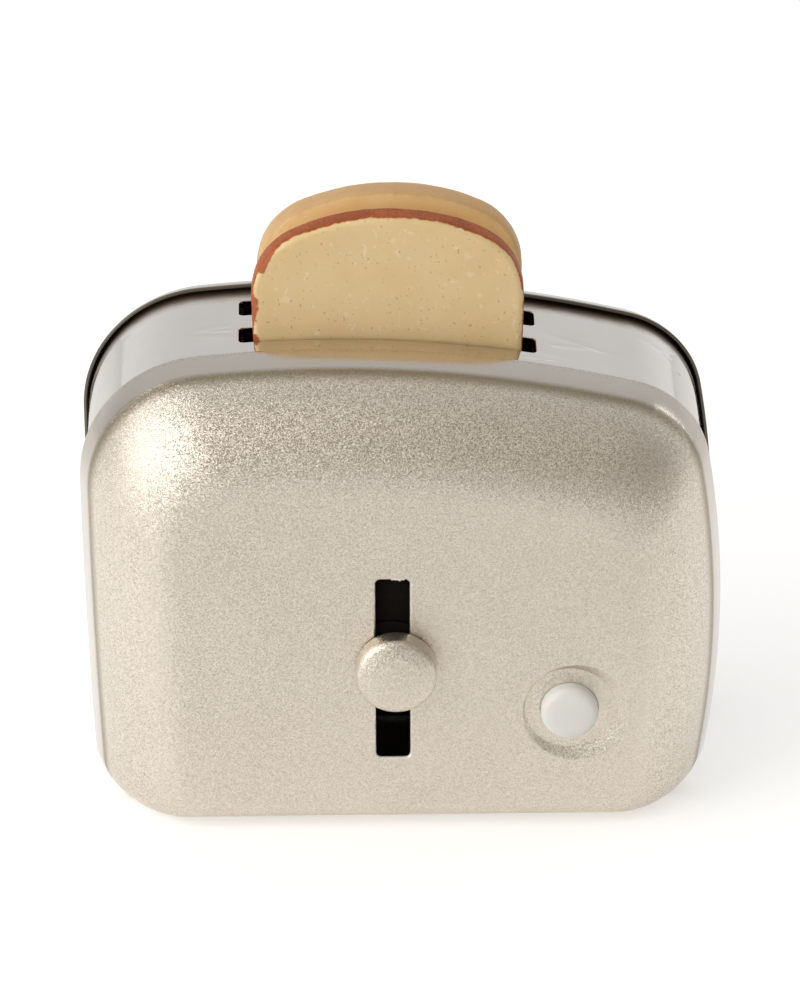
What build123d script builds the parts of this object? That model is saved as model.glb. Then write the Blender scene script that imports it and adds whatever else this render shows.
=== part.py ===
"""Doll's-house toaster of drawn sheet metal with two slices of toast.

Millimetres, +Z up.  +X is to the right as seen from the front and the front faces -Y.  The
origin is the middle of the pressed field on which the base plate stands, so z = 0 is the table.

Two drawn covers close a bright band that wraps the sides and the top.  A friction slider in the
front cover carries a lifter on two rods; the slices stand on the lifter between comb guides.
"""
from math import acos, cos, radians, sin, sqrt
import os

from build123d import *

# ---- casing outline, seen from the front ---------------------------------------------------
CROWN_TOP = 48.2            # highest point of the cover rims above the table
CROWN_X = -7.4              # the crown is highest left of the middle
CROWN_RADIUS = 120.0
LEFT_REACH = 31.5           # widest point of the left side, from the middle
LEFT_WAIST_Z = 40.0
LEFT_RADIUS = 700.0         # the left side is almost straight and leans out
RIGHT_REACH = 31.3
RIGHT_WAIST_Z = 20.0
RIGHT_RADIUS = 100.0        # the right side bellies out
LEFT_SHOULDER_RADIUS = 12.8
RIGHT_SHOULDER_RADIUS = 9.8
FOOT_RADIUS = 4.5

# ---- covers --------------------------------------------------------------------------------
DEPTH = 34.6                # from face to face
COVER_SHEET = 0.35
RIM_Y = 7.4                 # rims of the covers, in front of and behind the middle
RIM_TURN = 18               # degrees: the wall leans in from the rim, so that it can be drawn
TOP_SWEEP = 11.1            # how far the bend reaches in from the crown
SIDE_SWEEP = 9.7
BOTTOM_SWEEP = 2.9
FACE_SHOULDER_RADIUS = 6.3  # corners of the flat face
FACE_FOOT_RADIUS = 2.9
BEND_STEPS = 6

# ---- bright band ---------------------------------------------------------------------------
BAND_SHEET = 0.3
JOINT_GAP = 0.35            # dark joint between rim and band
EDGE_CLEARANCE = 0.05       # where the band's edge seats inside the leaning wall of a cover
FOOT_TO_GUIDE = 0.5         # inner end of the band's foot to the foot of a toast guide
FOOT_TO_RIVET = 2.8         # inner end of the band's foot to its rivets

# ---- bread slots and slices ----------------------------------------------------------------
CENTRE_X = -1.3             # slider, slots and slices share this line
BREAD_SLOT_LENGTH = 29.1
BREAD_SLOT_WIDTH = 3.2
BREAD_SLOT_CORNER = 0.5
FRONT_SLOT_Y = -2.5
REAR_SLOT_Y = 3.4
SLICE_WIDTH = 26.9
SLICE_HEIGHT = 28.0
SLICE_THICKNESS = 2.8
SLICE_CROWN_RADIUS = 21.5
SLICE_SHOULDER_RADIUS = 7.3
SLICE_FOOT_RADIUS = 1.5
SLICE_WAIST = 0.75          # each side tapers in this much towards the foot
SLICE_EDGE = 0.35
SLICE_SEAT_GAP = 0.05

# ---- slider --------------------------------------------------------------------------------
SLIDER_SLOT_WIDTH = 3.4
SLIDER_SLOT_BOTTOM = 8.2
SLIDER_SLOT_TOP = 28.0
SLIDER_SLOT_CORNER = 0.5
KNOB_Z = 18.4               # where the knob stands at rest
KNOB_RADIUS = 3.97
KNOB_STANDOFF = 0.15
KNOB_WALL = 2.0             # height of the knob's rim
KNOB_DOME = 0.75
KNOB_EDGE = 0.55
KNOB_SHEET = 0.4
KNOB_BOSS_RADIUS = 1.9
BLOCK_HEIGHT = 4.4
BLOCK_CLEARANCE = 0.08      # each side of the block in the slot
RIVET_RADIUS = 0.8
RIVET_FIT = 0.02
RIVET_HEAD_RADIUS = 1.7
RIVET_HEAD = 0.7
RIVET_BITE = 0.7            # depth of the knob boss that the rivet fills
WASHER_INNER_RADIUS = 2.9
WASHER_OUTER_RADIUS = 4.6
WASHER_SHEET = 0.25
WASHER_BOW = 0.45
WASHER_FIT = 0.02

# ---- lifter and its rods -------------------------------------------------------------------
LIFTER_SHEET = 0.4
LIFTER_BEND = 0.9
WEB_WIDTH = 9.0
WEB_BELOW_KNOB = 4.6
SHELF_TOP = 32.45           # where the slices stand at rest
SHELF_TO_GUIDE = 0.4        # end of the shelf to the walls of a guide's channels
NECK_TO_Y = -8.6            # the narrow neck widens here
SHELF_BACK_MARGIN = 0.3     # past the rear slice
SHELF_LIP = 1.6
SHELF_WINDOW_LENGTH = 13.0
SHELF_CORNER = 0.8
ROD_RADIUS = 0.75
ROD_SPREAD = 7.5            # each side of the slider line
ROD_Y = -6.0
ROD_CLEARANCE = 0.1
ROD_FIT = 0.02
ROD_HEAD_RADIUS = 1.15
ROD_HEAD = 0.28
ROD_ABOVE_BRIDGE = 0.5
ROD_TIP = 0.25              # bevel of the free end

# ---- toast guides and bridge ---------------------------------------------------------------
GUIDE_SHEET = 0.4
GUIDE_END_CLEARANCE = 0.6   # end of a slice to the bottom of its channel
GUIDE_GRIP = 3.0            # length of the channel walls
GUIDE_BEND = 0.5
GUIDE_TO_BAND = 0.3
GUIDE_FOOT = 2.6
GUIDE_FOOT_INSET_Y = 0.9
GUIDE_RIVET_RADIUS = 0.4
BRIDGE_BELOW_CROWN = 5.9
BRIDGE_SHEET = 0.4
BRIDGE_DEPTH = 3.0
BRIDGE_EAR = 3.6
BRIDGE_RIVET_RADIUS = 0.35
BRIDGE_RIVET_CLOSED = 0.08  # set almost flush, clear of the slice in its channel

# ---- base plate ----------------------------------------------------------------------------
BASE_SHEET = 0.33           # a little less than the room above the covers' bottom edges
BASE_HALF_WIDTH = 7.0
WING_HALF_LENGTH = 17.0
WING_HALF_WIDTH = 8.8
FIELD_HALF_LENGTH = 10.5
FIELD_HALF_WIDTH = 4.4
FIELD_CORNER = 1.5
BASE_CORNER = 2.0
BASE_RIVET_Y = 4.2
BASE_RIVET_TO_END = 2.7     # to the end of the base plate
BASE_RIVET_RADIUS = 0.7
BASE_RIVET_HEAD_RADIUS = 1.3
BASE_RIVET_HEAD = 0.28
BASE_RIVET_CLOSED = 0.35

# ---- push button ---------------------------------------------------------------------------
BUTTON_X = 16.1
BUTTON_Z = 13.4
BUTTON_RADIUS = 2.83
BUTTON_FIT = 0.06
BUTTON_PROUD = 1.1
BUTTON_DOME = 0.4
BUTTON_EDGE = 0.25
FLANGE_RADIUS = 3.12
FLANGE_THICKNESS = 0.6
FLANGE_GAP = 0.05
DISH_RADIUS = 5.35
DISH_DEPTH = 0.6
DISH_SLOPE = 0.85
BOSS_RADIUS = 3.4
BOSS_SLOPE = 0.55
STEM_RADIUS = 1.0
STEM_LENGTH = 3.0
SPRING_WIRE = 0.15
SPRING_RADIUS = 1.75
SPRING_TURNS = 4
SPRING_SIDES = 5            # flats round the wire
SPRING_END_GAP = 0.04
BRACKET_SHEET = 0.4
BRACKET_WIDTH = 4.6
BRACKET_STANDOFF = 3.0
BRACKET_FOOT = 2.4
BRACKET_BEND = 0.6
BRACKET_CLEARANCE = 0.9     # dish to the inner end of each bracket foot

# ---- worked out from the sizes above -------------------------------------------------------
THROUGH = 1.0               # how far a cut runs past the sheet that it goes through
TALL = 2 * CROWN_TOP        # taller than anything that is cut to length
FACE_Y = -DEPTH / 2
COVER_DEPTH = DEPTH / 2 - RIM_Y
FACE_BACK_Y = FACE_Y + COVER_SHEET
BAND_INSET = COVER_SHEET + JOINT_GAP
BAND_INNER = BAND_INSET + BAND_SHEET
EDGE_SHARE = (JOINT_GAP - EDGE_CLEARANCE) / (TOP_SWEEP - COVER_SHEET)
BASE_TOP = BAND_INSET
BASE_UNDER = BASE_TOP - BASE_SHEET
SLOT_YS = (FRONT_SLOT_Y, REAR_SLOT_Y)
SLIDER_SLOT_Z = (SLIDER_SLOT_BOTTOM + SLIDER_SLOT_TOP) / 2
WEB_FRONT_Y = FACE_BACK_Y + WASHER_BOW + WASHER_SHEET + 2 * WASHER_FIT
WEB_BACK_Y = WEB_FRONT_Y + LIFTER_SHEET
SLICE_FOOT_Z = SHELF_TOP + SLICE_SEAT_GAP
SHELF_BACK_Y = REAR_SLOT_Y + SLICE_THICKNESS / 2 + SHELF_BACK_MARGIN
CHANNEL_HALF = SLICE_WIDTH / 2 + GUIDE_END_CLEARANCE
SHELF_WIDTH = 2 * (CHANNEL_HALF - GUIDE_GRIP - SHELF_TO_GUIDE)
GUIDE_REACH = CHANNEL_HALF + GUIDE_SHEET + GUIDE_FOOT
BAND_FOOT_INNER = abs(CENTRE_X) + GUIDE_REACH + FOOT_TO_GUIDE
BASE_RIVET_X = BAND_FOOT_INNER + FOOT_TO_RIVET
BASE_HALF_LENGTH = BASE_RIVET_X + BASE_RIVET_TO_END
BRIDGE_Z = CROWN_TOP - BRIDGE_BELOW_CROWN
FRONT_FIN_Y = FRONT_SLOT_Y - BREAD_SLOT_WIDTH / 2 - GUIDE_SHEET
KNOB_BACK_Y = FACE_Y - KNOB_STANDOFF


# ---- shared shapes -------------------------------------------------------------------------
def outline(top, side, bottom, left_shoulder, right_shoulder, foot):
    """Casing outline in local X-Y, pulled in by an amount at the top, sides and bottom."""
    crown = Pos(CROWN_X, CROWN_TOP - CROWN_RADIUS) * Circle(CROWN_RADIUS - top)
    left = Pos(LEFT_RADIUS - LEFT_REACH, LEFT_WAIST_Z) * Circle(LEFT_RADIUS - side)
    right = Pos(RIGHT_REACH - RIGHT_RADIUS, RIGHT_WAIST_Z) * Circle(RIGHT_RADIUS - side)
    above = Pos(0, bottom + TALL / 2) * Rectangle(4 * LEFT_REACH, TALL)
    shape = crown & left & right & above
    shape = fillet(shape.vertices().sort_by(Axis.Y)[:2], foot)
    shape = fillet(max(shape.vertices(), key=lambda corner: corner.Y - corner.X), left_shoulder)
    return fillet(max(shape.vertices(), key=lambda corner: corner.Y + corner.X), right_shoulder)


def inset_outline(inset):
    """Casing outline pulled in by the same amount all round."""
    return outline(inset, inset, inset, LEFT_SHOULDER_RADIUS - inset,
                   RIGHT_SHOULDER_RADIUS - inset, FOOT_RADIUS - inset)


def at_y(y, sketch):
    """Stand a local X-Y sketch upright, facing the front, at the given y."""
    return Plane.XZ.offset(-y) * sketch


def slab(sketch, y_near, y_far):
    """Extrude an upright sketch from y_near back to y_far."""
    return extrude(at_y(y_far, sketch), y_far - y_near)


def facing_front(x, y, z):
    """Frame whose local +Y points out of the front of the toaster."""
    return Plane(origin=(x, y, z), x_dir=(1, 0, 0), z_dir=(0, 0, -1))


def turned(points):
    """Solid of revolution about local Y from (radius, height) points."""
    return revolve(make_face(Polyline(*points, close=True)), Axis.Y)


def domed(radius, height, dome, edge):
    """Round head about local Y: straight wall, rounded edge and a shallow dome on top."""
    top = height + dome
    dome_radius = (radius ** 2 + dome ** 2) / (2 * dome)
    midway = top - dome_radius + sqrt(dome_radius ** 2 - radius ** 2 / 4)
    arc = ThreePointArc((0, top), (radius / 2, midway), (radius, height))
    sides = Polyline((radius, height), (radius, 0), (0, 0), (0, top))
    head = revolve(make_face(Curve() + [arc, sides]), Axis.Y)
    rims = head.edges().filter_by(lambda rim: rim.is_closed).sort_by(Axis.Y)
    return fillet(rims[-1], edge)


def rod(radius, z_low, z_high, x=0.0, y=0.0):
    """Upright cylinder between two heights."""
    return Pos(x, y, (z_low + z_high) / 2) * Cylinder(radius, z_high - z_low)


def button_head(radius, thickness):
    """Low rivet head on z = 0, bevelled at its free edge."""
    head = Pos(0, 0, thickness / 2) * Cylinder(radius, thickness)
    return chamfer(head.edges().group_by(Axis.Z)[-1], thickness / 2)


def rivet(shank, head_radius, head, closed_radius, closed, grip):
    """Rivet along +Z: head below z = 0, flat closed end above the grip."""
    pin = rod(shank, -head / 2, grip + closed / 2)
    return pin + Rot(180, 0, 0) * button_head(head_radius, head) + \
        rod(closed_radius, grip, grip + closed)


def bent_sheet(points, bend, sheet, width):
    """Strip of sheet whose middle line runs through points in local X-Y, width along Z."""
    line = FilletPolyline(*points, radius=bend)
    start = Plane(origin=line @ 0, x_dir=(0, 0, 1), z_dir=line % 0)
    return sweep(start * Rectangle(width, sheet), path=line)


def save(node, shape):
    """Write one sub-part under its node name."""
    export_step(shape, os.path.join("parts", node + ".step"))


# ---- casing --------------------------------------------------------------------------------
def wall_section(turn, wall):
    """One section of a cover less a wall, where its profile has turned by an angle."""
    share = 1 - cos(turn) / cos(radians(RIM_TURN))
    return outline(
        wall + (TOP_SWEEP - wall) * share,
        wall + (SIDE_SWEEP - wall) * share,
        wall + (BOTTOM_SWEEP - wall) * share ** 2,
        LEFT_SHOULDER_RADIUS - wall - (LEFT_SHOULDER_RADIUS - FACE_SHOULDER_RADIUS) * share,
        RIGHT_SHOULDER_RADIUS - wall - (RIGHT_SHOULDER_RADIUS - FACE_SHOULDER_RADIUS) * share,
        FOOT_RADIUS - wall - (FOOT_RADIUS - FACE_FOOT_RADIUS) * share)


def depth_share(turn):
    """Share of a cover's depth at which its profile has turned by an angle."""
    start = sin(radians(RIM_TURN))
    return (sin(turn) - start) / (1 - start)


def bulge(wall):
    """Solid inside one front cover, less a wall all round: leaning wall, bend and flat face."""
    sections = []
    for step in range(BEND_STEPS + 1):
        turn = radians(RIM_TURN + (90 - RIM_TURN) * step / BEND_STEPS)
        y = -RIM_Y - (COVER_DEPTH - wall) * depth_share(turn)
        sections.append(at_y(y, wall_section(turn, wall)))
    return loft(sections)


def cover_blank():
    """Drawn front shell, open at its rim, before its holes are made."""
    mouth = slab(inset_outline(COVER_SHEET), -RIM_Y, THROUGH - RIM_Y)
    return bulge(0) - (bulge(COVER_SHEET) + mouth)


def dish():
    """Stamped ring and boss round the button: sheet profile turned about the button axis."""
    hole = BUTTON_RADIUS + BUTTON_FIT
    surface = [(DISH_RADIUS, 0), (DISH_RADIUS - DISH_SLOPE, -DISH_DEPTH),
               (BOSS_RADIUS + BOSS_SLOPE, -DISH_DEPTH), (BOSS_RADIUS, 0), (hole, 0)]
    inner = [(radius, height - COVER_SHEET) for radius, height in reversed(surface)]
    return turned(surface + inner)


def front_cover():
    """Front shell with the slider slot and the stamped dish for the button."""
    shell = cover_blank()
    slot = Pos(CENTRE_X, SLIDER_SLOT_Z) * RectangleRounded(
        SLIDER_SLOT_WIDTH, SLIDER_SLOT_TOP - SLIDER_SLOT_BOTTOM, SLIDER_SLOT_CORNER)
    shell -= slab(slot, FACE_Y - THROUGH, FACE_Y + THROUGH)
    seat = facing_front(BUTTON_X, FACE_Y, BUTTON_Z)
    shell -= seat * (Rot(90, 0, 0) * Cylinder(DISH_RADIUS, 2 * THROUGH))
    return shell + seat * dish()


def band_edge_y():
    """Where the band's edge just clears the inside of a cover's leaning wall at the crown."""
    turn = acos(cos(radians(RIM_TURN)) * (1 - EDGE_SHARE))
    return RIM_Y + (COVER_DEPTH - COVER_SHEET) * depth_share(turn)


def chrome_band():
    """Bright wrap: one strip with the bread slots, its feet turned in on the base plate."""
    edge_y = band_edge_y()
    band = slab(inset_outline(BAND_INSET) - inset_outline(BAND_INNER), -edge_y, edge_y)
    for slot_y in SLOT_YS:
        opening = RectangleRounded(BREAD_SLOT_LENGTH, BREAD_SLOT_WIDTH, BREAD_SLOT_CORNER)
        band -= Pos(CENTRE_X, slot_y, CROWN_TOP / 2) * extrude(opening, CROWN_TOP)
    band -= Box(2 * BAND_FOOT_INNER, 4 * RIM_Y, 4 * BAND_INNER)
    for x, y in base_rivet_places():
        band -= rod(BASE_RIVET_RADIUS + RIVET_FIT, 0, 2 * BAND_INNER, x, y)
    return band


def base_rivet_places():
    """Centres of the rivets that join the base plate to the band's feet."""
    return [(x, y) for x in (-BASE_RIVET_X, BASE_RIVET_X) for y in (-BASE_RIVET_Y, BASE_RIVET_Y)]


def rod_places():
    """Centres of the two lifter rods."""
    return [(CENTRE_X - ROD_SPREAD, ROD_Y), (CENTRE_X + ROD_SPREAD, ROD_Y)]


def base_plate():
    """Closing plate with a pressed field that stands on the table."""
    plan = RectangleRounded(2 * BASE_HALF_LENGTH, 2 * BASE_HALF_WIDTH, BASE_CORNER) + \
        RectangleRounded(2 * WING_HALF_LENGTH, 2 * WING_HALF_WIDTH, BASE_CORNER)
    plate = Pos(0, 0, BASE_UNDER) * extrude(plan, BASE_SHEET)
    field = RectangleRounded(2 * FIELD_HALF_LENGTH, 2 * FIELD_HALF_WIDTH, FIELD_CORNER)
    well = RectangleRounded(2 * (FIELD_HALF_LENGTH - BASE_SHEET),
                            2 * (FIELD_HALF_WIDTH - BASE_SHEET), FIELD_CORNER - BASE_SHEET)
    plate += extrude(field, BASE_TOP)
    plate -= Pos(0, 0, BASE_SHEET) * extrude(well, BASE_TOP)
    for x, y in base_rivet_places():
        plate -= rod(BASE_RIVET_RADIUS + RIVET_FIT, 0, 2 * BASE_TOP, x, y)
    for x, y in rod_places():
        plate -= rod(ROD_RADIUS + ROD_FIT, 0, 2 * BASE_TOP, x, y)
    for x, y in guide_rivet_places():
        plate -= rod(GUIDE_RIVET_RADIUS + RIVET_FIT, 0, 2 * BASE_TOP, x, y)
    return plate


def base_rivets():
    """Four rivets from the base plate into the band's feet."""
    shape = rivet(BASE_RIVET_RADIUS, BASE_RIVET_HEAD_RADIUS, BASE_RIVET_HEAD,
                  BASE_RIVET_HEAD_RADIUS, BASE_RIVET_CLOSED, BASE_SHEET + BAND_SHEET)
    return Compound([Pos(x, y, BASE_UNDER) * shape for x, y in base_rivet_places()])


# ---- toast guides --------------------------------------------------------------------------
def guide_rivet_places():
    """Centres of the small rivets in the feet of the toast guides."""
    reach = GUIDE_REACH - (GUIDE_FOOT - GUIDE_SHEET) / 2
    return [(CENTRE_X + side * reach, y) for side in (-1, 1) for y in SLOT_YS]


def toast_guide(side):
    """Comb of folded sheet with one channel for the edge of each slice; side is -1 or 1."""
    half = BREAD_SLOT_WIDTH / 2 + GUIDE_SHEET / 2
    deep = CHANNEL_HALF + GUIDE_SHEET / 2
    tip = deep - GUIDE_GRIP
    path = []
    for slot_y in SLOT_YS:
        path += [(tip, slot_y - half), (deep, slot_y - half),
                 (deep, slot_y + half), (tip, slot_y + half)]
    comb = Pos(0, 0, BASE_TOP + TALL / 2) * bent_sheet(path, GUIDE_BEND, GUIDE_SHEET, TALL)
    for slot_y in SLOT_YS:
        foot = Box(GUIDE_FOOT + GUIDE_SHEET / 2, BREAD_SLOT_WIDTH - GUIDE_FOOT_INSET_Y,
                   GUIDE_SHEET, align=(Align.MIN, Align.CENTER, Align.MIN))
        comb += Pos(deep, slot_y, BASE_TOP) * foot
    if side < 0:
        comb = mirror(comb, about=Plane.YZ)
    comb = Pos(CENTRE_X, 0, 0) * comb
    comb &= slab(inset_outline(BAND_INNER + GUIDE_TO_BAND), -RIM_Y, RIM_Y) + \
        Pos(0, 0, BASE_TOP) * Box(2 * LEFT_REACH, 2 * RIM_Y, 2 * BAND_INNER,
                                  align=(Align.CENTER, Align.CENTER, Align.MIN))
    for x, y in guide_rivet_places():
        comb -= rod(GUIDE_RIVET_RADIUS + RIVET_FIT, 0, 2 * BASE_TOP, x, y)
    for x, z in bridge_rivet_places():
        comb -= slab(Pos(x, z) * Circle(BRIDGE_RIVET_RADIUS + RIVET_FIT),
                     FRONT_FIN_Y - THROUGH, FRONT_FIN_Y + THROUGH)
    return comb


def guide_rivets():
    """Four small rivets that hold the guide feet to the base plate."""
    shape = rivet(GUIDE_RIVET_RADIUS, 2 * GUIDE_RIVET_RADIUS, BASE_RIVET_HEAD,
                  2 * GUIDE_RIVET_RADIUS, BASE_RIVET_HEAD, BASE_SHEET + GUIDE_SHEET)
    return Compound([Pos(x, y, BASE_UNDER) * shape for x, y in guide_rivet_places()])


def bridge_rivet_places():
    """X and z of the rivets through the bridge ears and the front walls of the guides."""
    reach = CHANNEL_HALF - GUIDE_GRIP / 2
    return [(CENTRE_X + side * reach, BRIDGE_Z - BRIDGE_EAR / 2) for side in (-1, 1)]


def guide_bridge():
    """Strap that ties both guides together and steadies the tops of the rods."""
    outer = CHANNEL_HALF - GUIDE_BEND
    inner = outer - 2 * (outer - (CHANNEL_HALF - GUIDE_GRIP / 2))
    strap = Pos(CENTRE_X, FRONT_FIN_Y, BRIDGE_Z) * Box(
        2 * outer, BRIDGE_DEPTH, BRIDGE_SHEET, align=(Align.CENTER, Align.MAX, Align.MIN))
    strap = fillet(strap.edges().filter_by(Axis.Z).group_by(Axis.Y)[0], SHELF_CORNER)
    for side in (-1, 1):
        strap += Pos(CENTRE_X + side * (outer + inner) / 2, FRONT_FIN_Y, BRIDGE_Z) * Box(
            outer - inner, BRIDGE_SHEET, BRIDGE_EAR,
            align=(Align.CENTER, Align.MAX, Align.MAX))
    for x, y in rod_places():
        strap -= rod(ROD_RADIUS + ROD_FIT, BRIDGE_Z - THROUGH, BRIDGE_Z + THROUGH, x, y)
    for x, z in bridge_rivet_places():
        strap -= slab(Pos(x, z) * Circle(BRIDGE_RIVET_RADIUS + RIVET_FIT),
                      FRONT_FIN_Y - THROUGH, FRONT_FIN_Y + THROUGH)
    return strap


def bridge_rivets():
    """Two small rivets through the bridge ears."""
    shape = rivet(BRIDGE_RIVET_RADIUS, 2 * BRIDGE_RIVET_RADIUS, BASE_RIVET_HEAD,
                  2 * BRIDGE_RIVET_RADIUS, BRIDGE_RIVET_CLOSED, BRIDGE_SHEET + GUIDE_SHEET)
    return Compound([Pos(x, FRONT_FIN_Y - BRIDGE_SHEET, z) * Rot(-90, 0, 0) * shape
                     for x, z in bridge_rivet_places()])


def guide_rod(x, y):
    """Rod riveted into the base plate, free end just through the bridge."""
    shape = rod(ROD_RADIUS, BASE_UNDER - ROD_HEAD / 2,
                BRIDGE_Z + BRIDGE_SHEET + ROD_ABOVE_BRIDGE, x, y)
    shape = chamfer(shape.edges().group_by(Axis.Z)[-1], ROD_TIP)
    return shape + Pos(x, y, BASE_UNDER) * Rot(180, 0, 0) * button_head(ROD_HEAD_RADIUS, ROD_HEAD)


# ---- slider and lifter ---------------------------------------------------------------------
def lifter():
    """Bent plate: web behind the slider slot, shelf with a ledge under each slice."""
    web_low = KNOB_Z - WEB_BELOW_KNOB
    web_y = WEB_FRONT_Y + LIFTER_SHEET / 2
    shelf_z = SHELF_TOP - LIFTER_SHEET / 2
    lip_y = SHELF_BACK_Y - LIFTER_SHEET / 2
    path = [(web_y, web_low), (web_y, shelf_z), (lip_y, shelf_z), (lip_y, SHELF_TOP - SHELF_LIP)]
    strip = Plane.YZ * bent_sheet(path, LIFTER_BEND, LIFTER_SHEET, SHELF_WIDTH)
    body = Pos(CENTRE_X, 0, 0) * strip
    web_keep = Box(WEB_WIDTH, NECK_TO_Y - 2 * FACE_Y, TALL,
                   align=(Align.CENTER, Align.MAX, Align.CENTER))
    shelf_keep = Box(SHELF_WIDTH, 2 * RIM_Y, TALL,
                     align=(Align.CENTER, Align.MIN, Align.CENTER))
    keep = fillet((web_keep + shelf_keep).edges().filter_by(Axis.Z), SHELF_CORNER)
    body &= Pos(CENTRE_X, NECK_TO_Y, 0) * keep
    window = RectangleRounded(SHELF_WINDOW_LENGTH,
                              REAR_SLOT_Y - FRONT_SLOT_Y - SLICE_THICKNESS - SHELF_CORNER,
                              SHELF_CORNER)
    body -= Pos(CENTRE_X, sum(SLOT_YS) / 2, SHELF_TOP - THROUGH) * extrude(window, 2 * THROUGH)
    for x, y in rod_places():
        body -= rod(ROD_RADIUS + ROD_CLEARANCE, SHELF_TOP - THROUGH, SHELF_TOP + THROUGH, x, y)
    return body - slab(Pos(CENTRE_X, KNOB_Z) * Circle(RIVET_RADIUS + RIVET_FIT),
                       WEB_FRONT_Y - THROUGH, WEB_BACK_Y + THROUGH)


def slider_knob():
    """Drawn cap with a shallow dome, hollow behind, and a boss that takes the rivet."""
    cap = domed(KNOB_RADIUS, KNOB_WALL, KNOB_DOME, KNOB_EDGE)
    hollow = Rot(-90, 0, 0) * Cylinder(KNOB_RADIUS - KNOB_SHEET, KNOB_WALL - KNOB_SHEET / 2,
                                       align=(Align.CENTER, Align.CENTER, Align.MIN))
    boss = Rot(-90, 0, 0) * Cylinder(KNOB_BOSS_RADIUS, KNOB_WALL,
                                     align=(Align.CENTER, Align.CENTER, Align.MIN))
    bore = Rot(-90, 0, 0) * Cylinder(RIVET_RADIUS + RIVET_FIT, 2 * RIVET_BITE)
    knob = cap - hollow + boss - bore
    return facing_front(CENTRE_X, KNOB_BACK_Y, KNOB_Z) * knob


def slide_block():
    """Flat-sided block that runs in the slider slot and sets the knob's standoff."""
    width = SLIDER_SLOT_WIDTH - 2 * BLOCK_CLEARANCE
    sketch = RectangleRounded(width, BLOCK_HEIGHT, SLIDER_SLOT_CORNER) - \
        Circle(RIVET_RADIUS + RIVET_FIT)
    return slab(Pos(CENTRE_X, KNOB_Z) * sketch, KNOB_BACK_Y, WEB_FRONT_Y)


def friction_washer():
    """Bowed spring washer between the cover and the web."""
    ring = Circle(WASHER_OUTER_RADIUS) - Circle(WASHER_INNER_RADIUS)
    bow = (WASHER_OUTER_RADIUS ** 2 + WASHER_BOW ** 2) / (2 * WASHER_BOW)
    front_y = FACE_BACK_Y + WASHER_FIT
    disc = slab(Pos(CENTRE_X, KNOB_Z) * ring, front_y, front_y + WASHER_BOW + WASHER_SHEET)
    roll = Cylinder(bow + WASHER_SHEET, TALL) - Cylinder(bow, TALL)
    return disc & Pos(CENTRE_X, front_y + bow + WASHER_SHEET, KNOB_Z) * Rot(0, 90, 0) * roll


def knob_rivet():
    """Rivet from the knob boss through block and web, closed behind the web."""
    front_y = KNOB_BACK_Y - RIVET_BITE + RIVET_FIT
    shank = slab(Circle(RIVET_RADIUS), front_y, WEB_BACK_Y + RIVET_HEAD / 2)
    head = Pos(0, WEB_BACK_Y, 0) * Rot(-90, 0, 0) * button_head(RIVET_HEAD_RADIUS, RIVET_HEAD)
    return Pos(CENTRE_X, 0, KNOB_Z) * (shank + head)


# ---- push button ---------------------------------------------------------------------------
def push_button():
    """Domed button, held from behind by its flange, with a stem that guides the spring."""
    head = domed(BUTTON_RADIUS, BUTTON_PROUD, BUTTON_DOME, BUTTON_EDGE)
    flange_top = -(COVER_SHEET + FLANGE_GAP)
    flange_back = flange_top - FLANGE_THICKNESS
    tail = turned([(0, 0), (BUTTON_RADIUS, 0), (BUTTON_RADIUS, flange_top),
                   (FLANGE_RADIUS, flange_top), (FLANGE_RADIUS, flange_back),
                   (STEM_RADIUS, flange_back), (STEM_RADIUS, flange_back - STEM_LENGTH),
                   (0, flange_back - STEM_LENGTH)])
    return facing_front(BUTTON_X, FACE_Y, BUTTON_Z) * (head + tail)


def bracket_face_y():
    """Front face of the bracket's bridge, where the spring stands."""
    return FACE_BACK_Y + BRACKET_STANDOFF


def button_spring():
    """Coil spring round the stem, between the flange and the bracket."""
    flange_back_y = FACE_BACK_Y + FLANGE_GAP + FLANGE_THICKNESS
    start_y = flange_back_y + SPRING_WIRE + SPRING_END_GAP
    length = bracket_face_y() - SPRING_WIRE - SPRING_END_GAP - start_y
    coil = Helix(pitch=length / SPRING_TURNS, height=length, radius=SPRING_RADIUS)
    section = Plane(origin=coil @ 0, z_dir=coil % 0) * RegularPolygon(SPRING_WIRE, SPRING_SIDES)
    wire = sweep(section, path=coil)
    return Plane(origin=(BUTTON_X, start_y, BUTTON_Z), z_dir=(0, 1, 0)) * wire


def button_bracket():
    """Hat-shaped strap spot-welded inside the cover behind the button."""
    inner = DISH_RADIUS + BRACKET_CLEARANCE
    outer = inner + BRACKET_FOOT
    foot_y = FACE_BACK_Y + BRACKET_SHEET / 2
    top_y = bracket_face_y() + BRACKET_SHEET / 2
    path = [(foot_y, BUTTON_Z - outer), (foot_y, BUTTON_Z - inner), (top_y, BUTTON_Z - inner),
            (top_y, BUTTON_Z + inner), (foot_y, BUTTON_Z + inner), (foot_y, BUTTON_Z + outer)]
    strap = Plane.YZ * bent_sheet(path, BRACKET_BEND, BRACKET_SHEET, BRACKET_WIDTH)
    hole = slab(Pos(0, BUTTON_Z) * Circle(STEM_RADIUS + ROD_CLEARANCE),
                top_y - THROUGH, top_y + THROUGH)
    return Pos(BUTTON_X, 0, 0) * (strap - hole)


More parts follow.
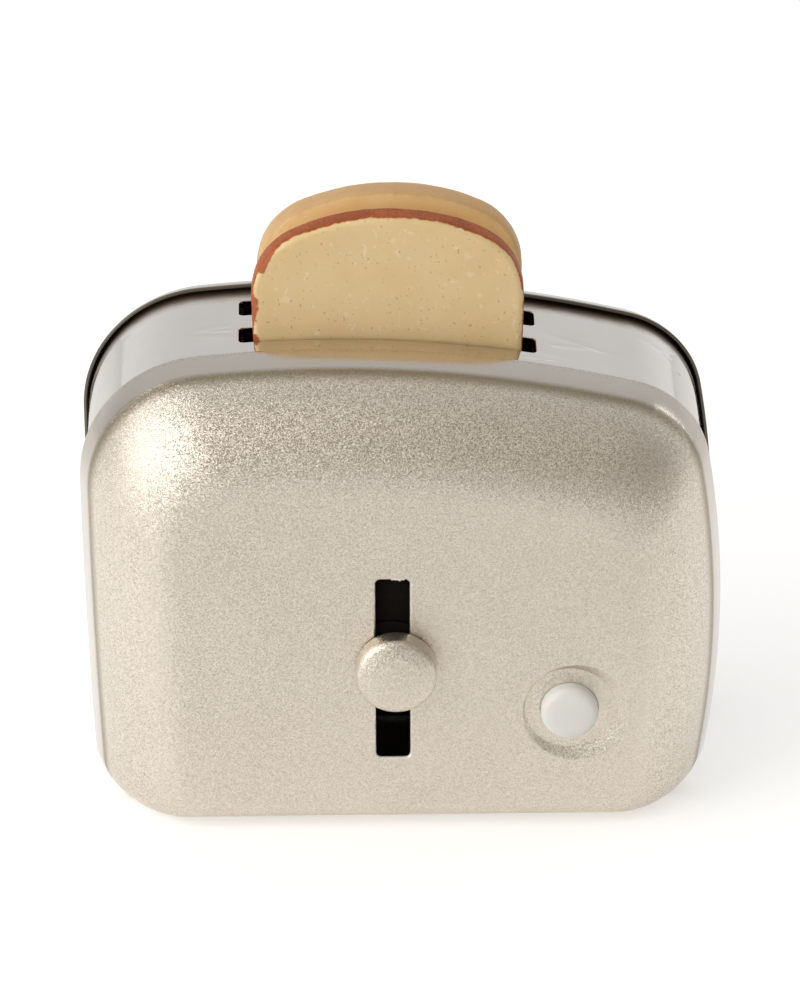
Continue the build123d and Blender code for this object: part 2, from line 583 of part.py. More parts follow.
# ---- toast ---------------------------------------------------------------------------------
def toast(slot_y):
    """Slice with an arched top, standing on the lifter in its slot."""
    half = SLICE_WIDTH / 2
    arch_drop = SLICE_CROWN_RADIUS - sqrt(SLICE_CROWN_RADIUS ** 2 - half ** 2)
    shoulder_z = SLICE_HEIGHT - arch_drop
    arch = ThreePointArc((-half, shoulder_z), (0, SLICE_HEIGHT), (half, shoulder_z))
    sides = Polyline((half, shoulder_z), (half - SLICE_WAIST, 0), (SLICE_WAIST - half, 0),
                     (-half, shoulder_z))
    face = make_face(Curve() + [arch, sides])
    face = fillet(face.vertices().sort_by(Axis.Y)[2:], SLICE_SHOULDER_RADIUS)
    face = fillet(face.vertices().sort_by(Axis.Y)[:2], SLICE_FOOT_RADIUS)
    slice_ = slab(Pos(CENTRE_X, SLICE_FOOT_Z) * face,
                  slot_y - SLICE_THICKNESS / 2, slot_y + SLICE_THICKNESS / 2)
    rims = slice_.faces().filter_by(Axis.Y).edges()
    return fillet(rims, SLICE_EDGE)


def main():
    """Build every node and write its STEP file."""
    os.makedirs("parts", exist_ok=True)
    save("front_cover", front_cover())
    save("rear_cover", mirror(cover_blank(), about=Plane.XZ))
    save("chrome_band", chrome_band())
    save("base_plate", base_plate())
    save("base_rivets", base_rivets())
    save("left_toast_guide", toast_guide(-1))
    save("right_toast_guide", toast_guide(1))
    save("guide_rivets", guide_rivets())
    save("guide_bridge", guide_bridge())
    save("bridge_rivets", bridge_rivets())
    for name, (x, y) in zip(("left_guide_rod", "right_guide_rod"), rod_places()):
        save(name, guide_rod(x, y))
    save("lifter", lifter())
    save("slider_knob", slider_knob())
    save("slide_block", slide_block())
    save("friction_washer", friction_washer())
    save("knob_rivet", knob_rivet())
    save("push_button", push_button())
    save("button_spring", button_spring())
    save("button_bracket", button_bracket())
    save("front_toast", toast(FRONT_SLOT_Y))
    save("rear_toast", toast(REAR_SLOT_Y))


main()
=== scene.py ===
"""Looks of the toy toaster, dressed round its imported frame.

Lengths are millimetres until a mesh, a lamp or the camera is made, where MM turns them into
metres.  +X is to the right seen from the front, -Y is the front and +Z is up.  Outlines lie in
the upright x-z plane and run clockwise as seen from the front.
"""
from __future__ import annotations

import logging
import math
from dataclasses import dataclass, field
from enum import Enum
from typing import Any, Sequence

import bmesh
import bpy
import numpy as np
from mathutils import Matrix, Vector, geometry, noise


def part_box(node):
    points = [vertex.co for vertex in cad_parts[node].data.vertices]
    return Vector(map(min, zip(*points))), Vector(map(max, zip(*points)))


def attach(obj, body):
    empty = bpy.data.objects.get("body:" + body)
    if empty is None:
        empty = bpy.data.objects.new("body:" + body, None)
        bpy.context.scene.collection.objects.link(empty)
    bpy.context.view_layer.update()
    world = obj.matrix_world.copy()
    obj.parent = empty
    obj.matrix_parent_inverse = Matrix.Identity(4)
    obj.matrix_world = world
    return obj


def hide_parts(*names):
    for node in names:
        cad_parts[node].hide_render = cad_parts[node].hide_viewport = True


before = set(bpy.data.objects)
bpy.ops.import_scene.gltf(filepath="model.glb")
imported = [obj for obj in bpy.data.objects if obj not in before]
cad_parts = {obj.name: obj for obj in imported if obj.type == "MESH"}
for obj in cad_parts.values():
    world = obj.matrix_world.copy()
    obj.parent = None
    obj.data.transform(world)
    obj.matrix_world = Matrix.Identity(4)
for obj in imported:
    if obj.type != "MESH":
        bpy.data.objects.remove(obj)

LOG = logging.getLogger("toaster")
MM = 0.001
STRAIGHT = 1.0e5            # radius of an outline side that looks straight
SHARP = math.radians(35)    # edges that turn more than this stay crisp
MARK = "mark"               # attribute that a mesh carries for its finish


# ---- measures and outlines -----------------------------------------------------------------
def box_mm(node: str) -> tuple[np.ndarray, np.ndarray]:
    """Box of a CAD node.

    Args:
        node: name of the node in the frame.

    Returns:
        Its lowest and highest corner, in millimetres.
    """
    low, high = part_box(node)
    return np.array(low) / MM, np.array(high) / MM


def unit(vector: np.ndarray) -> np.ndarray:
    """Vector of length one that points the same way."""
    return vector / np.linalg.norm(vector)


def upright(x: np.ndarray, y: float | np.ndarray, z: np.ndarray) -> np.ndarray:
    """Rows of x, y and z; a single y serves every row."""
    return np.stack(np.broadcast_arrays(x, y, z), 1)


def smooth_step(low: float, high: float, value: float | np.ndarray) -> np.ndarray:
    """Share from 0 at low to 1 at high, level at both ends."""
    share = np.clip((value - low) / (high - low), 0.0, 1.0)
    return share * share * (3.0 - 2.0 * share)


def rounded(corners: Sequence[tuple[float, float, float]], steps: int) -> np.ndarray:
    """Polyline with round corners.

    Args:
        corners: across, along and bend radius of each corner; the ends keep their place.
        steps: chords in each bend.

    Returns:
        Points of the line, one a row.
    """
    line = [np.array(corners[0][:2])]
    for before, corner, after in zip(corners, corners[1:], corners[2:]):
        point, bend = np.array(corner[:2]), corner[2]
        back, on = unit(np.array(before[:2]) - point), unit(np.array(after[:2]) - point)
        half = math.acos(float(np.clip(back @ on, -1.0, 1.0))) / 2
        centre = point + unit(back + on) * bend / math.sin(half)
        start, end = (point + way * bend / math.tan(half) - centre for way in (back, on))
        line += [centre + unit(start * (1 - t) + end * t) * bend for t in np.linspace(0, 1, steps + 1)]
    return np.array([*line, np.array(corners[-1][:2])])


def inside(point: np.ndarray, loop: np.ndarray) -> bool:
    """Whether a point lies inside a closed loop.

    Args:
        point: place in the loop's plane.
        loop: points round it, one a row.

    Returns:
        True if it lies inside.
    """
    x, y = point
    first, second = loop, np.roll(loop, -1, axis=0)
    crosses = (first[:, 1] > y) != (second[:, 1] > y)
    way = second - first
    at = way[:, 0] * (y - first[:, 1]) / (way[:, 1] + 1e-12) + first[:, 0]
    return bool(np.count_nonzero(crosses & (x < at)) % 2)


@dataclass(frozen=True)
class Disc:
    """Side of an outline: a circle in the x-z plane with the shape inside it."""

    x: float
    z: float
    radius: float

    def shrunk(self, inset: float) -> Disc:
        """Same circle with a smaller radius."""
        return Disc(self.x, self.z, self.radius - inset)

    @classmethod
    def straight(cls, start: tuple[float, float], end: tuple[float, float]) -> Disc:
        """Side that runs straight from start to end, with the shape on its right."""
        way = unit(np.subtract(end, start))
        return cls(start[0] + way[1] * STRAIGHT, start[1] - way[0] * STRAIGHT, STRAIGHT)


@dataclass(frozen=True)
class Outline:
    """Four sides, clockwise from the top, and the round corner that follows each."""

    sides: tuple[Disc, Disc, Disc, Disc]
    corners: tuple[float, float, float, float]

    @classmethod
    def box(cls, x: float, z: float, width: float, height: float, corner: float) -> Outline:
        """Rectangle with round corners.

        Args:
            x: middle of its width.
            z: middle of its height.
            width: whole width.
            height: whole height.
            corner: radius of every corner.

        Returns:
            The outline.
        """
        ends = [(x + i * width / 2, z + j * height / 2) for i, j in ((-1, 1), (1, 1), (1, -1), (-1, -1))]
        sides = tuple(Disc.straight(a, b) for a, b in zip(ends, ends[1:] + ends[:1]))
        return cls(sides, (corner,) * 4)

    def inset(self, top: float, side: float, bottom: float, ease: float, goal: Sequence[float]) -> Outline:
        """Outline pulled in, its corners on the way to other ones.

        Args:
            top: how far the top comes down.
            side: how far both sides come in.
            bottom: how far the bottom comes up.
            ease: share of the way from this outline's corners to the goal.
            goal: radii at the end of that way.

        Returns:
            The smaller outline.
        """
        pulls = (top, side, bottom, side)
        sides = tuple(disc.shrunk(pull) for disc, pull in zip(self.sides, pulls))
        return Outline(sides, tuple(a + (b - a) * ease for a, b in zip(self.corners, goal)))

    def _corner(self, index: int) -> np.ndarray:
        """Centre of the round corner that follows a side.

        Args:
            index: number of the side, clockwise from the top.

        Returns:
            Its x and z.
        """
        ways = ((1, 1), (1, -1), (-1, -1), (-1, 1))
        radius = self.corners[index]
        first, second = (self.sides[i % 4].shrunk(radius) for i in (index, index + 1))
        gap = np.array([second.x - first.x, second.z - first.z])
        distance = float(np.hypot(*gap))
        along = (distance ** 2 + first.radius ** 2 - second.radius ** 2) / (2 * distance)
        across = math.sqrt(first.radius ** 2 - along ** 2) * np.array([-gap[1], gap[0]]) / distance
        foot = np.array([first.x, first.z]) + along * gap / distance
        return max((foot - across, foot + across), key=lambda point: float(point @ ways[index]))

    def trace(self, side_steps: int, corner_steps: int) -> np.ndarray:
        """Points once round the outline.

        Args:
            side_steps: points on each side.
            corner_steps: points on each corner.

        Returns:
            Rows of x, z and the outward normal's x and z, from the left end of the top.
        """
        centres = [self._corner(index) for index in range(4)]
        rows = []
        for index, side in enumerate(self.sides):
            middle = np.array([side.x, side.z])
            following = self.sides[(index + 1) % 4]
            next_middle = np.array([following.x, following.z])
            spans = ((middle, side.radius, centres[index - 1] - middle, centres[index] - middle, side_steps),
                     (centres[index], self.corners[index], centres[index] - middle,
                      centres[index] - next_middle, corner_steps))
            for centre, radius, start, end, steps in spans:
                first, last = math.atan2(start[1], start[0]), math.atan2(end[1], end[0])
                last -= 2 * math.pi if last > first else 0.0
                angles = np.linspace(first, last, steps, endpoint=False)
                ways = np.stack([np.cos(angles), np.sin(angles)], 1)
                rows.append(np.hstack([centre + radius * ways, ways]))
        return np.vstack(rows)


# ---- meshes --------------------------------------------------------------------------------
class Skin:
    """Mesh in the making: points in millimetres, faces, and one mark a point for its finish."""

    def __init__(self) -> None:
        """Starts with nothing."""
        self.points: list[np.ndarray] = []
        self.marks: list[float] = []
        self.faces: list[tuple[int, ...]] = []

    def add(self, points: np.ndarray, mark: float | np.ndarray = 0.0) -> list[int]:
        """Adds points.

        Args:
            points: rows of x, y and z.
            mark: one mark for all of them, or one each.

        Returns:
            Their numbers.
        """
        start = len(self.points)
        self.points += list(points)
        self.marks += list(np.broadcast_to(mark, len(points)))
        return list(range(start, len(self.points)))

    def flat(self, numbers: Sequence[int]) -> np.ndarray:
        """Rows of x and z of these points."""
        return np.array([self.points[number][[0, 2]] for number in numbers])

    def bridge(self, rings: Sequence[list[int]]) -> None:
        """Four-sided faces between each ring and the next.

        Args:
            rings: numbers of each ring's points, as many in every ring.
        """
        for first, second in zip(rings, rings[1:]):
            for i in range(len(first)):
                j = (i + 1) % len(first)
                self.faces.append((first[i], first[j], second[j], second[i]))

    def cap(self, ring: list[int]) -> None:
        """Closes a small ring with triangles round its middle."""
        tip = self.add(np.mean([self.points[i] for i in ring], 0)[None], self.marks[ring[0]])[0]
        self.faces += [(ring[i - 1], ring[i], tip) for i in range(len(ring))]

    def fill(self, outer: list[int], holes: Sequence[list[int]], loose: list[int], flat: np.ndarray) -> None:
        """Triangles inside a loop and outside its holes.

        Args:
            outer: numbers round the outside.
            holes: numbers round each hole.
            loose: numbers of the points between them.
            flat: place in the plane of each of these points, in the same order.
        """
        used = [*outer, *(n for hole in holes for n in hole), *loose]
        loops, start = [], 0
        for loop in (outer, *holes):
            numbers = list(range(start, start + len(loop)))
            start += len(loop)
            x, y = flat[numbers, 0], flat[numbers, 1]
            turn = float(np.sum(x * np.roll(y, -1) - np.roll(x, -1) * y))
            loops.append(numbers if turn > 0 else numbers[::-1])
        places = [Vector(place) for place in flat]
        _, _, faces, origin, _, parents = geometry.delaunay_2d_cdt(places, [], loops, 1, 1e-7)
        for face, parent in zip(faces, parents):
            if list(parent) == [0]:
                self.faces.append(tuple(used[origin[corner][0]] for corner in face))

    def build(self, name: str) -> bpy.types.Object:
        """Turns the points and faces into an object whose faces look outward.

        Args:
            name: name of the piece.

        Returns:
            The new object, in metres.
        """
        mesh = bpy.data.meshes.new(name)
        mesh.from_pydata([tuple(point * MM) for point in self.points], [], self.faces)
        mesh.attributes.new(MARK, "FLOAT", "POINT").data.foreach_set("value", self.marks)
        work = bmesh.new()
        work.from_mesh(mesh)
        bmesh.ops.recalc_face_normals(work, faces=work.faces)
        middle = sum((face.calc_center_median() for face in work.faces), Vector()) / len(work.faces)
        outward = sum(face.calc_area() * face.normal.dot(face.calc_center_median() - middle)
                      for face in work.faces)
        if outward < 0:
            bmesh.ops.reverse_faces(work, faces=work.faces)
        work.to_mesh(mesh)
        work.free()
        mesh.shade_smooth()
        return in_scene(name, mesh)


def in_scene(name: str, data: bpy.types.ID) -> bpy.types.Object:
    """Object that holds a mesh, lamp or camera, linked into the scene.

    Args:
        name: name of the object.
        data: what it holds.

    Returns:
        The object.
    """
    thing = bpy.data.objects.new(name, data)
    bpy.context.scene.collection.objects.link(thing)
    return thing


def settle(piece: bpy.types.Object) -> None:
    """Applies a piece's modifiers to its mesh.

    Args:
        piece: object that keeps only the result.
    """
    bpy.context.view_layer.update()
    graph = bpy.context.evaluated_depsgraph_get()
    mesh = bpy.data.meshes.new_from_object(piece.evaluated_get(graph), preserve_all_data_layers=True,
                                           depsgraph=graph)
    piece.modifiers.clear()
    piece.data = mesh


def thicken(piece: bpy.types.Object, sheet: float, edge: float) -> None:
    """Gives a shell its sheet and takes the sharpness off its cut edges.

    Args:
        piece: shell whose faces look outward.
        sheet: thickness, laid inward.
        edge: radius of the cut edges.
    """
    solid = piece.modifiers.new("sheet", "SOLIDIFY")
    solid.thickness, solid.offset, solid.use_even_offset = sheet * MM, -1.0, True
    soften(piece, edge)


def soften(piece: bpy.types.Object, edge: float) -> None:
    """Rounds the crisp edges of a piece and evens the shading of its flat faces.

    Args:
        piece: object with crisp edges.
        edge: width of the rounding.
    """
    bevel = piece.modifiers.new("edge", "BEVEL")
    bevel.width, bevel.segments, bevel.limit_method = edge * MM, 3, "ANGLE"
    bevel.angle_limit, bevel.use_clamp_overlap = SHARP, True
    piece.modifiers.new("shading", "WEIGHTED_NORMAL").keep_sharp = True
    settle(piece)


def seat(piece: bpy.types.Object, finish: Finish, body: str, slot: str, *nodes: str) -> None:
    """Dresses a piece, lets it ride on its body and reports it.

    Args:
        piece: the new piece, in place.
        finish: what it is coated with or moulded in.
        body: CAD body that carries it.
        slot: material slot of the record; not used.
        nodes: CAD nodes that it stands for.
    """
    piece.data.materials.clear()
    piece.data.materials.append(finish.material())
    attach(piece, body)
    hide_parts(*nodes)
    LOG.info("%s rides on %s and stands for %s", piece.name, body, ", ".join(nodes))


# ---- finishes ------------------------------------------------------------------------------
Colour = tuple[float, float, float]


def tone(red: int, green: int, blue: int) -> Colour:
    """Linear colour of a screen colour from 0 to 255."""
    parts = (part / 255 for part in (red, green, blue))
    return tuple(p / 12.92 if p <= 0.04045 else ((p + 0.055) / 1.055) ** 2.4 for p in parts)


class Graph:
    """Shader nodes of a material or the world, added and joined in short calls."""

    def __init__(self, owner: bpy.types.Material | bpy.types.World, shader: str = "Principled BSDF",
                 place: str = "Object") -> None:
        """Starts with the owner's own shader.

        Args:
            owner: material or world that gets the nodes.
            shader: name of its shader node.
            place: coordinates that the textures follow.
        """
        owner.use_nodes = True
        self.tree = owner.node_tree
        self.shader = self.tree.nodes[shader]
        self.place = self.add("ShaderNodeTexCoord").outputs[place]

    def add(self, kind: str, inputs: dict[Any, Any] | None = None, **settings: Any) -> bpy.types.Node:
        """Adds a node.

        Args:
            kind: Blender's name for it.
            inputs: sockets or values, by input name or number.
            settings: its own properties.

        Returns:
            The node.
        """
        node = self.tree.nodes.new(kind)
        for key, value in settings.items():
            setattr(node, key, value)
        self.feed(node, inputs or {})
        return node

    def feed(self, node: bpy.types.Node, inputs: dict[Any, Any]) -> None:
        """Links or sets several inputs of a node.

        Args:
            node: node that is fed.
            inputs: sockets or values, by input name or number.
        """
        for key, value in inputs.items():
            if isinstance(value, bpy.types.NodeSocket):
                self.tree.links.new(value, node.inputs[key])
            else:
                old = node.inputs[key].default_value
                wide = isinstance(value, tuple) and len(value) == 3 and len(old) == 4
                node.inputs[key].default_value = (*value, 1.0) if wide else value

    def shade(self, **inputs: Any) -> None:
        """Feeds the principled shader; an underscore in a name stands for a space."""
        self.feed(self.shader, {key.replace("_", " "): value for key, value in inputs.items()})

    def math(self, operation: str, *values: Any) -> bpy.types.NodeSocket:
        """Result of a math node."""
        return self.add("ShaderNodeMath", dict(enumerate(values)), operation=operation).outputs[0]

    def vector(self, operation: str, *values: Any) -> bpy.types.NodeSocket:
        """Result of a vector math node; SCALE takes a vector and a number."""
        inputs = dict(zip((0, "Scale") if operation == "SCALE" else (0, 1), values))
        return self.add("ShaderNodeVectorMath", inputs, operation=operation).outputs[0]

    def spots(self, size: float, detail: float = 2.0, place: Any = None) -> bpy.types.NodeSocket:
        """Soft noise from 0 to 1.

        Args:
            size: width of a spot, in millimetres.
            detail: octaves of finer noise.
            place: other coordinates than the object's own.

        Returns:
            The noise value.
        """
        inputs = {"Vector": place or self.place, "Scale": 1 / (size * MM), "Detail": detail}
        return self.add("ShaderNodeTexNoise", inputs).outputs["Fac"]

    def stretched(self, x: float, y: float, z: float) -> bpy.types.NodeSocket:
        """Object coordinates multiplied by a factor along each axis."""
        return self.add("ShaderNodeMapping", {"Vector": self.place, "Scale": (x, y, z)}).outputs[0]

    def span(self, value: Any, low: float, high: float, start: Any = 0.0,
             end: Any = 1.0) -> bpy.types.NodeSocket:
        """Maps low..high to start..end, smoothly and with the ends held.

        Args:
            value: what is mapped.
            low: value that gives start.
            high: value that gives end.
            start: first result.
            end: last result.

        Returns:
            The mapped value.
        """
        inputs = {"Value": value, "From Min": low, "From Max": high, "To Min": start, "To Max": end}
        return self.add("ShaderNodeMapRange", inputs, interpolation_type="SMOOTHSTEP").outputs[0]

    def blend(self, share: Any, first: Any, second: Any) -> bpy.types.NodeSocket:
        """Colour between two others.

        Args:
            share: 0 for the first colour, 1 for the second.
            first: one colour.
            second: the other colour.

        Returns:
            The mixed colour.
        """
        node = self.add("ShaderNodeMix", data_type="RGBA")
        self.feed(node, {0: share, 6: first, 7: second})
        return node.outputs[2]

    def axis(self, name: str) -> bpy.types.NodeSocket:
        """One coordinate of the place, X, Y or Z."""
        return self.add("ShaderNodeSeparateXYZ", {0: self.place}).outputs[name]

    def blot(self, x: float, y: float, length: float, width: float, slant: float) -> bpy.types.NodeSocket:
        """Soft streak seen from above, 1 in its middle and 0 outside.

        Args:
            x: middle of the streak, in millimetres.
            y: middle of the streak, in millimetres.
            length: reach along x.
            width: reach across.
            slant: rise in y over x.

        Returns:
            The streak's strength.
        """
        along = self.math("MULTIPLY_ADD", self.axis("X"), 1 / (length * MM), -x / length)
        lift = self.math("MULTIPLY_ADD", self.axis("X"), -slant / (width * MM), (slant * x - y) / width)
        across = self.math("MULTIPLY_ADD", self.axis("Y"), 1 / (width * MM), lift)
        reach = self.math("ADD", self.math("POWER", self.math("ABSOLUTE", along), 2.0),
                          self.math("POWER", self.math("ABSOLUTE", across), 2.0))
        return self.span(reach, 0.0, 1.0, 1.0, 0.0)

    def mark(self) -> bpy.types.NodeSocket:
        """Value of the marks that the mesh carries."""
        return self.add("ShaderNodeAttribute", attribute_name=MARK).outputs["Fac"]

    def bump(self, height: Any, depth: float, normal: Any = None) -> bpy.types.NodeSocket:
        """Normal of a relief.

        Args:
            height: relief from 0 to 1.
            depth: height of 1, in millimetres.
            normal: relief that this one lies on.

        Returns:
            The bumped normal.
        """
        inputs = {"Height": height, "Distance": depth * MM, "Strength": 1.0}
        if normal is not None:
            inputs["Normal"] = normal
        return self.add("ShaderNodeBump", inputs).outputs[0]


class Finish:
    """Surface of one kind; every finish makes its material once."""

    made: dict[Finish, bpy.types.Material] = {}

    def material(self) -> bpy.types.Material:
        """Material of this finish, made once and shared by all that wear it.

        Returns:
            The material.
        """
        if self not in Finish.made:
            Finish.made[self] = bpy.data.materials.new(type(self).__name__)
            self.paint(Graph(Finish.made[self]))
        return Finish.made[self]

    def paint(self, graph: Graph) -> None:
        """Adds the nodes of this finish."""
        raise NotImplementedError


@dataclass(frozen=True)
class FlakePaint(Finish):
    """Champagne paint: metal flakes under a clear coat, smooth on the walls by the rims, with painted shade
    in a band across the bend and along the rear cover's rim.

    The places from rim to face_end are distances from the middle of the band along y.  The mark on
    the mesh is 1 where an edge is bare metal or carries a painted highlight.
    """

    light: Colour = tone(231, 222, 209)
    deep: Colour = tone(144, 129, 104)
    smooth: Colour = tone(206, 198, 188)
    # shadow: painted shade of the band across the bend, and the tone of the specks by the rim
    shadow: Colour = tone(146, 133, 110)
    # bare metal, and the painted highlight on the slot's bottom and right edges
    bare: Colour = tone(246, 241, 232)
    # painted shade of the rear cover's rim
    painted_rim_shade: Colour = tone(84, 74, 60)
    flake: float = 0.085
    spread: float = 0.42
    rim: float = 7.5
    wall_end: float = 9.6
    bend_start: float = 10.15
    shadow_end: float = 11.5
    face_start: float = 15.6
    face_end: float = 17.1
    wander: float = 0.5
    wall_share: float = 0.06
    face_share: float = 0.45
    patch: float = 9.0
    speck: float = 0.2
    speck_share: float = 0.3
    shadow_share: float = 0.9
    peel: float = 0.9
    peel_depth: float = 0.003

    def tilted(self, graph: Graph, cells: Any, open_face: Any) -> bpy.types.NodeSocket:
        """Normal of each flake, with a random tilt where the paint lies thin.

        Args:
            graph: shader nodes of the paint.
            cells: random colour of each flake.
            open_face: 1 where the flakes show.

        Returns:
            The normal.
        """
        tilt = graph.vector("SUBTRACT", cells, (0.5, 0.5, 0.5))
        tilt = graph.vector("SCALE", tilt, graph.math("MULTIPLY", open_face, self.spread))
        plain = graph.add("ShaderNodeNewGeometry").outputs["Normal"]
        return graph.vector("NORMALIZE", graph.vector("ADD", plain, tilt))

    def coat(self, graph: Graph, cells: Any, open_face: Any, depth: Any) -> bpy.types.NodeSocket:
        """Colour of the paint, flaky on the face and smooth with a few specks on the wall, darkened by a
        painted shade band across the bend.

        Args:
            graph: shader nodes of the paint.
            cells: random colour of each flake.
            open_face: 1 where the flakes show.
            depth: distance from the middle of the band.

        Returns:
            The colour.
        """
        bent = graph.span(depth, self.face_start * MM, self.face_end * MM, 1.0, self.face_share)
        lively = graph.math("MULTIPLY", open_face, bent)
        chance = graph.add("ShaderNodeSeparateColor", {0: cells}).outputs[0]
        patchy = graph.math("MULTIPLY_ADD", graph.spots(self.patch), 0.14, 0.07)
        share = graph.math("MULTIPLY_ADD", graph.math("SUBTRACT", chance, 0.5), lively, patchy)
        specks = graph.math("MULTIPLY", graph.span(graph.spots(self.speck), 0.4, 0.62, 0.0, self.speck_share),
                            graph.span(depth, self.rim * MM, (self.rim + 0.7) * MM, 1.0, 0.1))
        thick = graph.blend(specks, self.smooth, self.shadow)
        colour = graph.blend(open_face, thick, graph.blend(share, self.light, self.deep))
        # painted shade: a dark band across the bend, where the dark room would be mirrored
        rise = graph.span(depth, (self.wall_end - 0.1) * MM, self.bend_start * MM)
        fall = graph.span(depth, self.bend_start * MM, self.shadow_end * MM, 1.0, 0.0)
        dark = graph.math("MULTIPLY", graph.math("MULTIPLY", rise, fall), self.shadow_share)
        return graph.blend(dark, colour, self.shadow)

    def paint(self, graph: Graph) -> None:
        """Flakes under the clear coat, bare edges, and painted shade along the rear cover's rim.

        Args:
            graph: shader nodes of the paint.
        """
        depth = graph.math("ABSOLUTE", graph.axis("Y"))
        wander = graph.math("MULTIPLY_ADD", graph.spots(1.2), self.wander * MM, depth)
        half = self.wander / 2
        open_face = graph.span(wander, (self.wall_end + half) * MM, (self.bend_start + half) * MM,
                               self.wall_share, 1.0)
        scale = 1 / (self.flake * MM)
        cells = graph.add("ShaderNodeTexVoronoi", {"Vector": graph.place, "Scale": scale}).outputs["Color"]
        bare = graph.span(graph.mark(), 0.15, 0.8)
        colour = graph.blend(bare, self.coat(graph, cells, open_face, depth), self.bare)
        # painted shade: the rear cover's rim is darker, duller and less metallic, with a thinner coat
        rear = graph.span(graph.axis("Y"), 0.0, 1.0 * MM)
        behind = graph.span(depth, self.rim * MM, (self.rim + 0.8) * MM, 0.9, 0.0)
        behind = graph.math("MULTIPLY", rear, behind)
        bare_and_rim_shade = graph.math("MAXIMUM", graph.math("MULTIPLY", bare, 0.6), graph.math("MULTIPLY", behind, 0.9))
        graph.shade(Base_Color=graph.blend(behind, colour, self.painted_rim_shade),
                    Metallic=graph.math("SUBTRACT", 1.0, bare_and_rim_shade),
                    Roughness=graph.span(open_face, self.wall_share, 1.0, 0.17, 0.4),
                    Normal=self.tilted(graph, cells, open_face),
                    Coat_Weight=graph.math("MULTIPLY_ADD", behind, -0.5, 0.5),
                    Coat_Roughness=0.1, Coat_IOR=1.5,
                    Coat_Normal=graph.bump(graph.spots(self.peel, 1.0), self.peel_depth))


@dataclass(frozen=True)
class BrightPlate(Finish):
    """Bright nickel plate with a painted shadow and a painted reflection by the rear joint, and dents and rub
    marks on its top.
    """

    colour: Colour = tone(228, 224, 221)
    warm: Colour = tone(214, 208, 202)
    # painted shadow of the gap at the rear joint, then the painted brown reflection of the rear rim
    gap_shade_tone: Colour = tone(74, 62, 50)
    mirrored_rim_tone: Colour = tone(134, 118, 102)
    joint: float = 7.4
    painted_band_width: float = 2.6
    line_depth: float = 0.0008
    wave_depth: float = 0.012
    rub_depth: float = 0.03
    marks: tuple[tuple[float, float, float, float, float], ...] = (
        (-18.6, -0.5, 2.6, 0.7, 0.18), (-17.8, -1.2, 1.8, 0.4, -0.1), (16.4, -1.6, 2.6, 0.6, 0.12),
        (18.8, -1.1, 1.5, 0.5, -0.25), (13.6, -5.2, 2.2, 0.3, 0.05), (26.4, 3.6, 0.9, 0.8, 0.9),
        (27.4, 1.2, 0.22, 0.3, 0.0), (27.6, -0.2, 0.18, 0.3, 0.0), (-29.6, -1.6, 0.35, 1.7, 0.0))

    def paint(self, graph: Graph) -> None:
        """Slightly clouded mirror with fine lines along the strip, and by the rear joint a painted reflection
        of the rim, duller and brown, and a painted shadow of the gap.

        Args:
            graph: shader nodes of the plate.
        """
        cloud, back = graph.spots(6.0, 4.0), graph.axis("Y")
        lines = graph.spots(0.05, 2.0, graph.stretched(0.04, 1.0, 0.04))
        scuffed = 0.0
        for mark in self.marks:
            scuffed = graph.math("MAXIMUM", scuffed, graph.blot(*mark))
        wander = graph.math("MULTIPLY_ADD", graph.spots(1.6, 3.0), 0.8 * MM, back)
        # painted reflection: a duller brown band before the rear joint; painted shadow: near black at the
        # joint
        start = self.joint - self.painted_band_width
        mirrored_rim_share = graph.span(wander, (start + 0.2) * MM, (self.joint - 0.1) * MM)
        gap_shade_share = graph.span(wander, (start + 1.0) * MM, (self.joint + 0.5) * MM)
        normal = graph.bump(lines, self.line_depth, graph.bump(graph.spots(2.5, 3.0), self.wave_depth))
        normal = graph.bump(scuffed, -self.rub_depth, normal)
        rough = graph.math("ADD", graph.span(cloud, 0.35, 0.7, 0.06, 0.12),
                           graph.span(lines, 0.6, 0.8, 0.0, 0.05))
        rough = graph.math("ADD", rough, graph.math("MULTIPLY", mirrored_rim_share, 0.3))
        colour = graph.blend(mirrored_rim_share, graph.blend(cloud, self.colour, self.warm), self.mirrored_rim_tone)
        graph.shade(Base_Color=graph.blend(gap_shade_share, colour, self.gap_shade_tone),
                    Metallic=graph.span(mirrored_rim_share, 0.0, 1.0, 1.0, 0.15), Roughness=rough, Normal=normal)


@dataclass(frozen=True)
class MilkPlastic(Finish):
    """Milky moulded plastic, polished."""

    colour: Colour = tone(244, 243, 239)
    cool: Colour = tone(238, 239, 235)

    def paint(self, graph: Graph) -> None:
        """Soft light from within and an almost even gloss.

        Args:
            graph: shader nodes of the plastic.
        """
        cloud = graph.spots(2.0)
        graph.shade(Base_Color=graph.blend(cloud, self.colour, self.cool),
                    Roughness=graph.span(cloud, 0.3, 0.7, 0.16, 0.24),
                    Subsurface_Weight=0.35, Subsurface_Scale=0.0012, IOR=1.49,
                    Normal=graph.bump(graph.spots(0.8), 0.004))


